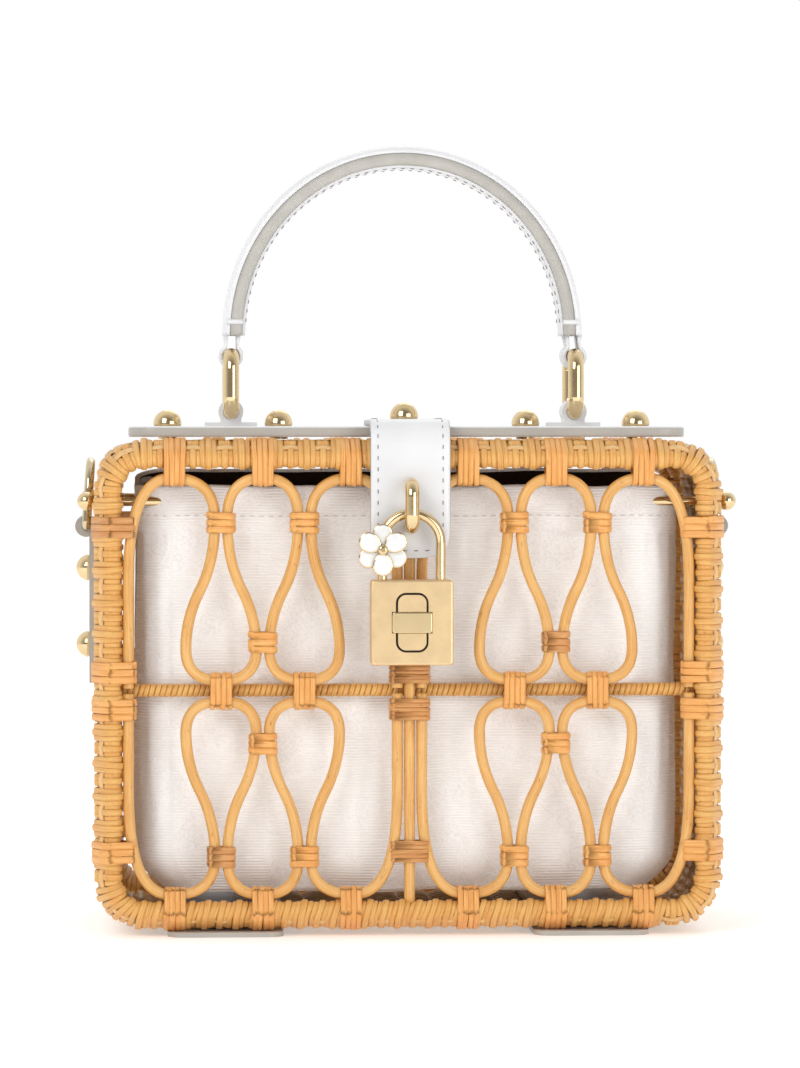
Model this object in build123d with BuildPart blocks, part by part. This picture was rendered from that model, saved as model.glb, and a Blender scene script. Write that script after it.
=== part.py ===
"""Basket box bag: cane basket with a hinged lid, a cloth pouch inside and a top handle.

Frame: millimetres, +X to the right, -Y to the front, +Z up, origin under the middle
of the bag's box, on the face that it stands on.
"""
import math
import os
from build123d import *

os.makedirs("parts", exist_ok=True)

# Driving sizes of the basket
basket_width = 195.2
basket_height = 151.3
basket_depth = 105.0
corner_radius = 15.5
fit = 0.12                     # clearance between pieces that lie on each other
hinge_fit = 0.08               # radial clearance of a piece that turns

# Rim: two cane rods side by side, wound together with flat cane
rim_rod_d = 3.8
rim_wrap = 0.75
rim_step_in = 2.85             # the inner rod lies this much inside the outer one
rim_step_back = 5.0            # and the outer rod this much behind the inner one

# Open lattice of bent cane
cane_d = 3.4
strand_gap = 0.4               # between two strands tied side by side
loop_gap = 0.45                # between the lattice and the rim's winding
top_gap = 1.0                  # and this much more under the top rail
drop_x = (58.4, 32.6)          # middles of the two hanging drops of each half
drop_half = 10.9
drop_foot = 3.2                # drops end this much above and below the middle bar
drop_belly = 19.4              # length of a drop's upright sides
drop_neck = 17.6               # height over which a drop narrows to its neck
bar_z = 76.4
bar_d = 4.2
bar_back = 4.7                 # the bar lies this much behind the lattice
post_d = 3.4
tie_wall = 0.85
run_share = 0.49               # share of a run that the rounding at one end may use
rim_tie_length = 6.6
knot_length = 6.4
post_tie_length = 6.7
side_tie_z = (127.0, 82.1, 70.6, 26.5)
knot_upper_z = 128.5
knot_belly_z = (91.5, 60.0)
knot_lower_z = 25.0

# Woven walls and floor
wall_inset = 0.6
wall_thickness = 3.4
edge_rod_d = 4.4
base_patch_thickness = 1.5
base_patch_width = 36.0
base_patch_x = 57.0
patch_inset = 2.0
patch_corner = 5.0

# Pouch and the rods that carry it
pouch_width = 171.0
pouch_rim_z = 140.0
pouch_bottom_z = 12.0
pouch_wall = 1.6
pouch_corner = 12.0
pouch_foot_round = 11.0
pouch_inset = 11.2             # from the basket's front face
casing_depth = 4.8
casing_height = 10.0
hanger_d = 3.0
hanger_ball_d = 5.8
hanger_past_middle = 0.6       # a rod ends this far past its ball's middle

# Lid
lid_rod_d = 4.4
lid_rod_z = 152.0
lid_weave_thickness = 3.0
lid_frame_corner = 8.0
lid_gap = 0.6                  # beside the walls' edge rods
lid_rim_gap = 1.5              # between the lid's frame and the rims, clear of their ties
panel_width = 174.0
panel_thickness = 3.3
panel_bottom_z = 155.0
panel_front_inset = 9.0
panel_back_gap = 7.0           # ahead of the hinge line, so that the lid can open
panel_corner = 9.0
panel_edge_round = 1.0
hinge_tie_x = (-59.0, 0.0, 59.0)
hinge_tie_width = 7.0
hinge_tie_gap = 1.2            # from a hinge tie to the woven sheet
lid_opening = 100.0

# Studs
stud_d = 9.0
stud_height = 5.3
stud_x = (-74.7, -39.4, 39.4, 74.7)
side_stud_d = 8.4
side_stud_height = 4.3
shank_d = 2.4
rim_height = 0.8               # slanted edge under a stud's dome
rim_taper = 0.3
burr_d = 6.0
burr_thickness = 0.7

# Handle with its rings and tabs
handle_x = 54.6
tab_pivot_z = 163.0
ring_height = 17.6             # between the middles of a ring's two cross legs
ring_depth = 22.0
ring_wire_d = 5.0
ring_corner = 4.5
tab_width = 12.4
tab_leather = 1.3
tab_foot_width = 16.5
tab_neck_width = 6.56
handle_top_z = 247.4
handle_thickness = 7.4
handle_depth = 15.0
handle_neck = 6.6
handle_edge_round = 1.6
handle_neck_thickness = 5.2
handle_neck_in = 0.6           # the neck stands this much inside its loop's middle
neck_overlap = 1.0

# Closing strap, staple and padlock
strap_width = 24.7
strap_thickness = 2.3
strap_start = 34.0             # reaches this far back from the lid panel's front edge
strap_stud_back = 8.0          # from the strap's rear end to its stud
flap_gap = 1.3                 # between the flap and the basket's front face
flap_end_z = 117.6
flap_bend = 5.2
flap_corner = 8.0
flap_seam = 0.3                # between the flap and the part sewn to the lid
magnet_d = 6.4
magnet_thickness = 1.1
magnet_z = 121.4
keeper_thickness = 1.3
keeper_gap = 0.4               # behind the flap
staple_wire_d = 4.4
staple_reach = 9.8
staple_z = (127.4, 140.3)
staple_corner = 3.6
staple_hold = 1.4              # depth of its feet in the flap
staple_bore = 1.6
shackle_d = 3.0
shackle_half = 9.0
shackle_z = 131.5
leg_depth = 8.0                # of the shackle's legs in the lock
lock_width = 25.4
lock_height = 26.3
lock_thickness = 9.0
lock_top_z = 111.2
lock_corner = 1.2
lock_edge_round = 0.7
recess_depth = 1.2
recess_gap = 0.7               # dark line round the plates
recess_corner = 3.2
plate_width = 8.7
plate_height = 17.0
plate_corner = 2.5
plate_raise = 0.2
band_width = 12.3
band_height = 6.4
band_corner = 0.8
band_raise = 0.7
band_edge_round = 0.35
band_gap = 0.5
petal_count = 3
petal_length = 7.2
petal_width = 6.4
petal_thickness = 1.2
petal_offset = 0.9             # from the flower's middle to a petal's inner tip
flower_hub_d = 4.4
bead_d = 3.0
bead_height = 1.0
bead_round = 0.8
flower_z = 120.3

# Side straps and rings
side_strap_width = 20.0
side_strap_thickness = 2.4
side_strap_bottom_z = 77.0
side_stud_z = (113.3, 88.9)
side_ring_z = 126.7
side_ring_wire_d = 2.7
side_ring_height = 20.5
side_ring_depth = 24.0
side_ring_corner = 9.5
side_ring_foot_corner = 1.6
side_ring_lean = 4.0
side_loop_leather = 2.0

# Places that follow from the sizes
sleeve_r = rim_rod_d / 2 + fit + rim_wrap
inner_inset = sleeve_r + rim_step_in
outline_bottom = base_patch_thickness + tie_wall + 2 * fit
outline_top = outline_bottom + basket_height
outline_mid = (outline_bottom + outline_top) / 2
flap_back_reach = flap_gap + strap_thickness
front_reach = flap_back_reach + staple_reach + staple_wire_d / 2
basket_y = (front_reach - tie_wall) / 2
front_y = basket_y - basket_depth / 2
back_y = basket_y + basket_depth / 2
middle_plane = Plane.XZ.offset(-basket_y)
rod_y = front_y + sleeve_r
outer_rod_y = rod_y + rim_step_back
cane_r = cane_d / 2
lattice_y = rod_y
loop_inset = inner_inset + sleeve_r + loop_gap + cane_r
side_x = basket_width / 2 - loop_inset
arch_z = outline_top - loop_inset - top_gap
sill_z = outline_bottom + loop_inset
strand_half = cane_r + strand_gap / 2
post_x = post_d / 2 + strand_gap + cane_r
wall_start = outer_rod_y + sleeve_r + tie_wall + 2 * fit
wall_depth = 2 * (basket_y - wall_start)
wall_x = basket_width / 2 - wall_inset
floor_half = basket_width / 2 - corner_radius
hanger_y = front_y + pouch_inset + casing_depth / 2
hanger_z = pouch_rim_z - casing_height / 2
lid_hinge_y = back_y - (outer_rod_y - front_y) - sleeve_r - lid_rim_gap - lid_rod_d / 2
lid_front_y = outer_rod_y + sleeve_r + lid_rim_gap + lid_rod_d / 2
edge_rod_x = floor_half - edge_rod_d / 2
edge_rod_z = outline_top - wall_inset - edge_rod_d / 2
lid_side_x = edge_rod_x - edge_rod_d / 2 - lid_gap - lid_rod_d / 2
panel_top_z = panel_bottom_z + panel_thickness
panel_front_y = front_y + panel_front_inset
panel_back_y = lid_hinge_y - panel_back_gap
panel_middle_y = (panel_front_y + panel_back_y) / 2
strap_top_z = panel_top_z + strap_thickness
strap_stud_y = panel_front_y + strap_start - strap_stud_back
flap_face_y = front_y - flap_back_reach
shackle_y = flap_face_y - staple_reach / 2
ring_pivot_z = tab_pivot_z + ring_height
side_face_x = wall_x + fit
strap_face_x = side_face_x + side_strap_thickness
side_ring_x = side_face_x + side_ring_wire_d / 2 + hinge_fit + side_loop_leather


def face_plane(y):
    """Upright plane across the bag at depth y, drawn in X and Z."""
    return Plane.XZ.offset(-y)


def fillet_radii(points):
    """Largest radii that a chain of straight runs leaves room for at its corners."""
    radii = []
    for before, corner, after in zip(points, points[1:], points[2:]):
        run_in = Vector(*corner) - Vector(*before)
        run_out = Vector(*after) - Vector(*corner)
        turn = math.radians(run_in.get_angle(run_out))
        radii.append(run_share * min(run_in.length, run_out.length) / math.tan(turn / 2))
    return radii


def bent_rod(points, radius, plane):
    """Round rod along a chain of runs whose corners are rounded as far as they can be."""
    with BuildPart() as rod:
        with BuildLine(plane) as path:
            FilletPolyline(*points, radius=fillet_radii(points))
        with BuildSketch(Plane(origin=path.line @ 0, z_dir=path.line % 0)):
            Circle(radius)
        sweep(path=path.line)
    return rod.part


def closed_rod(plane, width, height, corner, radius):
    """Round wire bent into a closed rounded rectangle."""
    half_w, half_h = width / 2, height / 2
    with BuildPart() as rod:
        with BuildLine(plane) as path:
            FilletPolyline(
                (-half_w, -half_h), (half_w, -half_h), (half_w, half_h), (-half_w, half_h),
                radius=corner, close=True,
            )
        with BuildSketch(Plane(origin=path.line @ 0, z_dir=path.line % 0)):
            Circle(radius)
        sweep(path=path.line)
    return rod.part


def rim_band(grow, hollow=False):
    """The front rim's winding: a flat oval around both rods, all the way round."""
    half_w = basket_width / 2 - inner_inset
    half_h = basket_height / 2 - inner_inset
    plane = Plane(origin=(0, rod_y, outline_mid), x_dir=(1, 0, 0), z_dir=(0, -1, 0))
    span = math.hypot(rim_step_back, rim_step_in)
    with BuildPart() as band:
        with BuildLine(plane) as path:
            FilletPolyline(
                (-half_w, -half_h), (half_w, -half_h), (half_w, half_h), (-half_w, half_h),
                radius=corner_radius - inner_inset, close=True,
            )
        start = path.line @ 0
        section = Plane(origin=start, z_dir=path.line % 0, x_dir=(0, 1, 0))
        outward = start - Vector(0, rod_y, outline_mid)
        side = 1 if section.y_dir.dot(outward) > 0 else -1
        slope = math.degrees(math.atan2(side * rim_step_in, rim_step_back))
        with BuildSketch(section):
            with Locations((rim_step_back / 2, side * rim_step_in / 2)):
                SlotCenterToCenter(span, 2 * (sleeve_r + grow), rotation=slope)
                if hollow:
                    SlotCenterToCenter(span, rim_rod_d + 2 * fit, rotation=slope, mode=Mode.SUBTRACT)
        sweep(path=path.line)
    return band.part


def to_back(part):
    """The same piece on the basket's back face."""
    with BuildPart() as twin:
        mirror(part, about=middle_plane)
    return twin.part


# Rim rods, front and back
outer_w = basket_width - 2 * sleeve_r
outer_h = basket_height - 2 * sleeve_r
inner_w = basket_width - 2 * inner_inset
inner_h = basket_height - 2 * inner_inset
inner_plane = Plane(origin=(0, rod_y, outline_mid), x_dir=(1, 0, 0), z_dir=(0, -1, 0))
outer_plane = Plane(origin=(0, outer_rod_y, outline_mid), x_dir=(1, 0, 0), z_dir=(0, -1, 0))
front_inner = closed_rod(inner_plane, inner_w, inner_h, corner_radius - inner_inset, rim_rod_d / 2)
front_outer = closed_rod(outer_plane, outer_w, outer_h, corner_radius - sleeve_r, rim_rod_d / 2)
front_sleeve = rim_band(0, hollow=True)
fat_rim = rim_band(fit)

front_inner.label = "front_inner_rod"
export_step(front_inner, "parts/front_inner_rod.step")
front_outer.label = "front_outer_rod"
export_step(front_outer, "parts/front_outer_rod.step")
front_sleeve.label = "front_rim_weave"
export_step(front_sleeve, "parts/front_rim_weave.step")
for piece in (front_inner, front_outer, front_sleeve):
    twin = to_back(piece)
    twin.label = piece.label.replace("front", "back")
    export_step(twin, f"parts/{twin.label}.step")


# Lattice: one bent cane in each quarter of a face
def quarter_points(side, tier):
    """Corner points of one cane: up the side, over the arches, round the drops, to the post."""
    end_z = bar_z + tier * cane_r / 2
    edge_z = arch_z if tier > 0 else sill_z
    foot_z = bar_z + tier * drop_foot
    belly_z = foot_z + tier * drop_belly
    neck_z = belly_z + tier * drop_neck
    points = [(side_x, end_z), (side_x, edge_z)]
    for middle in drop_x:
        neck_out, neck_in = middle + strand_half, middle - strand_half
        belly_out, belly_in = middle + drop_half, middle - drop_half
        points += [(neck_out, edge_z), (neck_out, neck_z), (belly_out, belly_z), (belly_out, foot_z)]
        points += [(belly_in, foot_z), (belly_in, belly_z), (neck_in, neck_z), (neck_in, edge_z)]
    points += [(post_x, edge_z), (post_x, end_z)]
    return [(side * x, z) for x, z in points]


lattice_plane = face_plane(lattice_y)
fat_canes = []
for tier, tier_name in ((1, "upper"), (-1, "lower")):
    for side, side_name in ((-1, "left"), (1, "right")):
        points = quarter_points(side, tier)
        cane = bent_rod(points, cane_r, lattice_plane)
        cane.label = f"front_loop_{tier_name}_{side_name}"
        export_step(cane, f"parts/{cane.label}.step")
        fat_canes.append(bent_rod(points, cane_r + fit, lattice_plane))
        twin = to_back(cane)
        twin.label = f"back_loop_{tier_name}_{side_name}"
        export_step(twin, f"parts/{twin.label}.step")

# Middle bar and centre post, their ends shaped to the rim's winding
bar_y = lattice_y + bar_back
with BuildPart() as mid_bar:
    with BuildSketch(Plane.YZ.offset(-basket_width / 2 + sleeve_r)):
        with Locations((bar_y, bar_z)):
            Circle(bar_d / 2)
    extrude(amount=basket_width - 2 * sleeve_r)
    add(fat_rim, mode=Mode.SUBTRACT)
mid_bar_solid = mid_bar.part.solids().sort_by(SortBy.VOLUME)[-1]
with BuildPart() as centre_post:
    with BuildSketch(Plane.XY.offset(outline_bottom + inner_inset)):
        with Locations((0, lattice_y)):
            Circle(post_d / 2)
    extrude(amount=inner_h)
    add(fat_rim, mode=Mode.SUBTRACT)
post_solid = centre_post.part.solids().sort_by(SortBy.VOLUME)[-1]
for solid, name in ((mid_bar_solid, "mid_bar"), (post_solid, "centre_post")):
    solid.label = f"front_{name}"
    export_step(solid, f"parts/front_{name}.step")
    twin = to_back(solid)
    twin.label = f"back_{name}"
    export_step(twin, f"parts/back_{name}.step")

tie_r = cane_r + fit + tie_wall
rim_tie_r = sleeve_r + fit + tie_wall


def rim_tie(section, loop_drop, length):
    """Winding that holds a strand to the rim; section looks along the rail, its Y outward."""
    with BuildPart() as tie:
        with BuildSketch(section):
            with BuildSketch(mode=Mode.PRIVATE) as rings:
                Circle(rim_tie_r)
                with Locations((rim_step_back, rim_step_in)):
                    Circle(rim_tie_r)
                with Locations((lattice_y - rod_y, -loop_drop)):
                    Circle(tie_r)
            make_hull(rings.sketch.edges())
        extrude(amount=length / 2, both=True)
    return tie.part


# Ties that hold the lattice to the rim
side_drop = loop_inset - inner_inset
rail_x = basket_width / 2 - inner_inset
tie_x = [(side_x + drop_x[0]) / 2, (drop_x[0] + drop_x[1]) / 2, (drop_x[1] + post_x) / 2]
with BuildPart() as rim_ties:
    for side in (-1, 1):
        for x in tie_x:
            top = Plane(origin=(side * x, rod_y, outline_top - inner_inset), x_dir=(0, 1, 0), z_dir=(1, 0, 0))
            foot = Plane(origin=(side * x, rod_y, outline_bottom + inner_inset), x_dir=(0, 1, 0), z_dir=(-1, 0, 0))
            add(rim_tie(top, side_drop + top_gap, rim_tie_length))
            add(rim_tie(foot, side_drop, rim_tie_length))
        for z in side_tie_z:
            edge = Plane(origin=(side * rail_x, rod_y, z), x_dir=(0, 1, 0), z_dir=(0, 0, -side))
            add(rim_tie(edge, side_drop, rim_tie_length))
    add(fat_rim, mode=Mode.SUBTRACT)
    for fat_cane in fat_canes:
        add(fat_cane, mode=Mode.SUBTRACT)

# Ties that hold two strands side by side
knots = [(x, z) for x in drop_x for z in (knot_upper_z, knot_lower_z)]
knots += [((drop_x[0] + drop_x[1]) / 2, z) for z in knot_belly_z]
with BuildPart() as strand_ties:
    for side in (-1, 1):
        for x, z in knots:
            with BuildSketch(Plane.XY.offset(z - knot_length / 2)):
                with Locations((side * x, lattice_y)):
                    SlotCenterToCenter(2 * strand_half, 2 * tie_r)
            extrude(amount=knot_length)
    for fat_cane in fat_canes:
        add(fat_cane, mode=Mode.SUBTRACT)

# Ties over the middle bar and round the centre post
with BuildPart() as bar_ties:
    for side in (-1, 1):
        for x in drop_x:
            with BuildSketch(Plane.YZ.offset(side * x)):
                with BuildSketch(mode=Mode.PRIVATE) as rings:
                    with Locations((lattice_y, bar_z + drop_foot), (lattice_y, bar_z - drop_foot)):
                        Circle(tie_r)
                    with Locations((bar_y, bar_z)):
                        Circle(bar_d / 2 + fit + tie_wall)
                make_hull(rings.sketch.edges())
            extrude(amount=rim_tie_length / 2, both=True)
    for z in side_tie_z[1:]:
        with BuildSketch(Plane.XY.offset(z - post_tie_length / 2)):
            with Locations((0, lattice_y)):
                SlotCenterToCenter(2 * post_x, 2 * tie_r)
        extrude(amount=post_tie_length)
    with Locations((0, bar_y, bar_z)):
        Cylinder(bar_d / 2 + fit, basket_width, rotation=(0, 90, 0), mode=Mode.SUBTRACT)
    with Locations((0, lattice_y, outline_mid)):
        Cylinder(post_d / 2 + fit, basket_height, mode=Mode.SUBTRACT)
    for fat_cane in fat_canes:
        add(fat_cane, mode=Mode.SUBTRACT)

rim_ties.part.label = "front_rim_ties"
export_step(rim_ties.part, "parts/front_rim_ties.step")
strand_ties.part.label = "front_strand_ties"
export_step(strand_ties.part, "parts/front_strand_ties.step")
bar_ties.part.label = "front_bar_ties"
export_step(bar_ties.part, "parts/front_bar_ties.step")
with BuildPart() as back_ties:
    for group in (rim_ties.part, strand_ties.part, bar_ties.part):
        add(to_back(group))
back_ties.part.label = "back_ties"
export_step(back_ties.part, "parts/back_ties.step")


# Woven side walls: they turn in at the bottom and top corners
inner_wall_inset = wall_inset + wall_thickness
for side, side_name in ((-1, "left"), (1, "right")):
    with BuildPart() as side_wall:
        with BuildSketch(face_plane(wall_start)):
            with Locations((0, outline_mid)):
                RectangleRounded(
                    basket_width - 2 * wall_inset, basket_height - 2 * wall_inset, corner_radius - wall_inset
                )
                RectangleRounded(
                    basket_width - 2 * inner_wall_inset, basket_height - 2 * inner_wall_inset,
                    corner_radius - inner_wall_inset, mode=Mode.SUBTRACT,
                )
            with Locations((side * (floor_half + basket_width / 2), outline_mid)):
                Rectangle(basket_width, basket_height, mode=Mode.INTERSECT)
        extrude(amount=-wall_depth)
        for y in (hanger_y, 2 * basket_y - hanger_y):
            with Locations((side * wall_x, y, hanger_z)):
                Cylinder(hanger_d / 2 + fit, 4 * wall_thickness, rotation=(0, 90, 0), mode=Mode.SUBTRACT)
        for z in side_stud_z:
            with Locations((side * wall_x, basket_y, z)):
                Cylinder(shank_d / 2 + fit, 4 * wall_thickness, rotation=(0, 90, 0), mode=Mode.SUBTRACT)
    side_wall.part.label = f"side_weave_{side_name}"
    export_step(side_wall.part, f"parts/side_weave_{side_name}.step")

with BuildPart() as floor_weave:
    with BuildSketch(Plane.XY.offset(outline_bottom + wall_inset)):
        with Locations((0, basket_y)):
            Rectangle(2 * floor_half, wall_depth)
    extrude(amount=wall_thickness)
floor_weave.part.label = "floor_weave"
export_step(floor_weave.part, "parts/floor_weave.step")

with BuildPart() as edge_rods:
    with BuildSketch(face_plane(wall_start)):
        with Locations((-edge_rod_x, edge_rod_z), (edge_rod_x, edge_rod_z)):
            Circle(edge_rod_d / 2)
    extrude(amount=-wall_depth)
edge_rods.part.label = "side_edge_rods"
export_step(edge_rods.part, "parts/side_edge_rods.step")

# Leather patches, outside under the floor and inside on it
for side, side_name in ((-1, "left"), (1, "right")):
    with BuildPart() as patch:
        with BuildSketch():
            with Locations((side * base_patch_x, basket_y)):
                RectangleRounded(base_patch_width, basket_depth - 2 * patch_inset, patch_corner)
        extrude(amount=base_patch_thickness)
    patch.part.label = f"base_patch_{side_name}"
    export_step(patch.part, f"parts/base_patch_{side_name}.step")

floor_top = outline_bottom + wall_inset + wall_thickness
with BuildPart() as inner_patches:
    with BuildSketch(Plane.XY.offset(floor_top)):
        with Locations((-base_patch_x, basket_y), (base_patch_x, basket_y)):
            RectangleRounded(base_patch_width, wall_depth - 2 * patch_inset, patch_corner)
    extrude(amount=base_patch_thickness)
inner_patches.part.label = "inner_patches"
export_step(inner_patches.part, "parts/inner_patches.step")

# Cloth pouch with a casing along its front and back rims
pouch_depth = basket_depth - 2 * pouch_inset
with BuildPart() as pouch_hollow:
    with BuildSketch(Plane.XY.offset(pouch_bottom_z + pouch_wall)):
        with Locations((0, basket_y)):
            RectangleRounded(
                pouch_width - 2 * pouch_wall, pouch_depth - 2 * pouch_wall, pouch_corner - pouch_wall
            )
    extrude(amount=pouch_rim_z - pouch_bottom_z)
    fillet(pouch_hollow.edges().group_by(Axis.Z)[0], pouch_foot_round - pouch_wall)
with BuildPart() as pouch:
    with BuildSketch(Plane.XY.offset(pouch_bottom_z)):
        with Locations((0, basket_y)):
            RectangleRounded(pouch_width, pouch_depth, pouch_corner)
    extrude(amount=pouch_rim_z - pouch_bottom_z)
    fillet(pouch.edges().group_by(Axis.Z)[0], pouch_foot_round)
    add(pouch_hollow.part, mode=Mode.SUBTRACT)
    for y in (hanger_y, 2 * basket_y - hanger_y):
        with Locations((0, y, hanger_z)):
            Box(pouch_width - 2 * pouch_corner, casing_depth, casing_height)
            Cylinder(hanger_d / 2 + fit, basket_width, rotation=(0, 90, 0), mode=Mode.SUBTRACT)
pouch.part.label = "pouch"
export_step(pouch.part, "parts/pouch.step")

# Two metal rods through the casings, with a ball on each end outside the walls
ball_x = wall_x + fit + hanger_ball_d / 2
hanger_half = ball_x + hanger_past_middle
with BuildPart() as hanger_rods:
    with BuildSketch(Plane.YZ.offset(-hanger_half)):
        with Locations((hanger_y, hanger_z), (2 * basket_y - hanger_y, hanger_z)):
            Circle(hanger_d / 2)
    extrude(amount=2 * hanger_half)
hanger_rods.part.label = "hanger_rods"
export_step(hanger_rods.part, "parts/hanger_rods.step")
bore_depth = hanger_half + fit - wall_x
bore_x = wall_x + bore_depth / 2
with BuildPart() as hanger_balls:
    for side in (-1, 1):
        for y in (hanger_y, 2 * basket_y - hanger_y):
            with BuildSketch(face_plane(y)):
                with Locations((side * ball_x, hanger_z)):
                    Circle(hanger_ball_d / 2)
                    Rectangle(
                        2 * hanger_ball_d, hanger_ball_d, align=(Align.CENTER, Align.MAX), mode=Mode.SUBTRACT
                    )
                with Locations((side * bore_x, hanger_z)):
                    Rectangle(bore_depth, hanger_d + 2 * hinge_fit, mode=Mode.SUBTRACT)
            revolve(axis=Axis((side * ball_x, y, hanger_z), (1, 0, 0)))
hanger_balls.part.label = "hanger_balls"
export_step(hanger_balls.part, "parts/hanger_balls.step")


# Rivets: domed head, shank and the burr that clinches it
def rivet(head_plane, head_d, head_height, grip):
    """One stud; the plane's origin is under the head, its normal points out of the head."""
    head_r = head_d / 2
    dome_height = head_height - rim_height
    dome_r = (dome_height**2 + head_r**2) / (2 * dome_height)
    half_angle = math.atan2(head_r, dome_r - dome_height) / 2
    dome_x = dome_r * math.sin(half_angle)
    dome_z = head_height - dome_r * (1 - math.cos(half_angle))
    with BuildPart() as stud:
        section = Plane(origin=head_plane.origin, x_dir=head_plane.x_dir, z_dir=-head_plane.y_dir)
        with BuildSketch(section):
            with BuildLine():
                Line((0, head_height), (0, -grip - burr_thickness))
                Line((0, -grip - burr_thickness), (burr_d / 2, -grip - burr_thickness))
                Line((burr_d / 2, -grip - burr_thickness), (burr_d / 2, -grip))
                Line((burr_d / 2, -grip), (shank_d / 2, -grip))
                Line((shank_d / 2, -grip), (shank_d / 2, 0))
                Line((shank_d / 2, 0), (head_r - rim_taper, 0))
                Line((head_r - rim_taper, 0), (head_r, rim_height))
                ThreePointArc((head_r, rim_height), (dome_x, dome_z), (0, head_height))
            make_face()
        revolve(axis=Axis(head_plane.origin, head_plane.z_dir))
    return stud.part


# Lid frame and the woven sheet inside it
lid_middle_y = (lid_front_y + lid_hinge_y) / 2
lid_depth = lid_hinge_y - lid_front_y
frame_plane = Plane(origin=(0, lid_middle_y, lid_rod_z), x_dir=(1, 0, 0), z_dir=(0, 0, 1))
lid_rod = closed_rod(frame_plane, 2 * lid_side_x, lid_depth, lid_frame_corner, lid_rod_d / 2)
lid_rod.label = "lid_frame_rod"
export_step(lid_rod, "parts/lid_frame_rod.step")

weave_inset = lid_rod_d / 2 + fit
hinge_clear = lid_rod_d / 2 + tie_wall + hinge_tie_gap
with BuildPart() as lid_weave:
    with BuildSketch(Plane.XY.offset(lid_rod_z - lid_weave_thickness / 2)):
        with Locations((0, lid_middle_y)):
            RectangleRounded(
                2 * (lid_side_x - weave_inset), lid_depth - 2 * weave_inset, lid_frame_corner - weave_inset
            )
        for x in hinge_tie_x:
            with Locations((x, lid_hinge_y)):
                Rectangle(hinge_tie_width + 2 * hinge_tie_gap, 2 * hinge_clear, mode=Mode.SUBTRACT)
    extrude(amount=lid_weave_thickness)
lid_weave.part.label = "lid_weave"
export_step(lid_weave.part, "parts/lid_weave.step")

# Bindings that hinge the lid's rear rod to the back rim
back_rod_y = 2 * basket_y - outer_rod_y
back_rod_z = outline_top - sleeve_r
fat_back_rim = to_back(fat_rim)
with BuildPart() as hinge_ties:
    for x in hinge_tie_x:
        with BuildSketch(Plane.YZ.offset(x)):
            with BuildSketch(mode=Mode.PRIVATE) as rings:
                with Locations((lid_hinge_y, lid_rod_z)):
                    Circle(lid_rod_d / 2 + hinge_fit + tie_wall)
                with Locations((back_rod_y, back_rod_z)):
                    Circle(rim_tie_r)
            make_hull(rings.sketch.edges())
        extrude(amount=hinge_tie_width / 2, both=True)
    with Locations((0, lid_hinge_y, lid_rod_z)):
        Cylinder(lid_rod_d / 2 + hinge_fit, basket_width, rotation=(0, 90, 0), mode=Mode.SUBTRACT)
    add(fat_back_rim, mode=Mode.SUBTRACT)
hinge_ties.part.label = "hinge_ties"
export_step(hinge_ties.part, "parts/hinge_ties.step")

# Leather panel on the lid
stud_places = [(x, panel_middle_y) for x in stud_x] + [(0, strap_stud_y)]
with BuildPart() as lid_panel:
    with BuildSketch(Plane.XY.offset(panel_bottom_z)):
        with Locations((0, panel_middle_y)):
            RectangleRounded(panel_width, panel_back_y - panel_front_y, panel_corner)
        with Locations(*stud_places):
            Circle(shank_d / 2 + fit, mode=Mode.SUBTRACT)
    extrude(amount=panel_thickness)
    fillet(lid_panel.edges().group_by(Axis.Z)[-1].sort_by(Edge.length)[-8:], panel_edge_round)
lid_panel.part.label = "lid_panel"
export_step(lid_panel.part, "parts/lid_panel.step")

with BuildPart() as lid_studs:
    for x in stud_x:
        add(rivet(Plane(origin=(x, panel_middle_y, panel_top_z)), stud_d, stud_height, panel_thickness))
    strap_plane = Plane(origin=(0, strap_stud_y, strap_top_z))
    add(rivet(strap_plane, stud_d, stud_height, panel_thickness + strap_thickness))
lid_studs.part.label = "lid_studs"
export_step(lid_studs.part, "parts/lid_studs.step")

# Leather tabs that hold the handle's rings to the lid
tab_bore_r = ring_wire_d / 2 + hinge_fit
tab_r = tab_bore_r + tab_leather
for side, side_name in ((-1, "left"), (1, "right")):
    with BuildPart() as tab:
        with BuildSketch(face_plane(panel_middle_y)):
            with Locations((side * handle_x, tab_pivot_z)):
                Circle(tab_r)
            with Locations((side * handle_x, (panel_top_z + tab_pivot_z) / 2)):
                Rectangle(tab_neck_width, tab_pivot_z - panel_top_z)
            with Locations((side * handle_x, panel_top_z + tab_leather / 2)):
                Rectangle(tab_foot_width, tab_leather)
            with Locations((side * handle_x, tab_pivot_z)):
                Circle(tab_bore_r, mode=Mode.SUBTRACT)
        extrude(amount=tab_width / 2, both=True)
    tab.part.label = f"handle_tab_{side_name}"
    export_step(tab.part, f"parts/handle_tab_{side_name}.step")
    ring_plane = Plane(
        origin=(side * handle_x, panel_middle_y, tab_pivot_z + ring_height / 2), x_dir=(0, 1, 0), z_dir=(1, 0, 0)
    )
    ring = closed_rod(ring_plane, ring_depth, ring_height, ring_corner, ring_wire_d / 2)
    ring.label = f"handle_ring_{side_name}"
    export_step(ring, f"parts/handle_ring_{side_name}.step")

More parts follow.
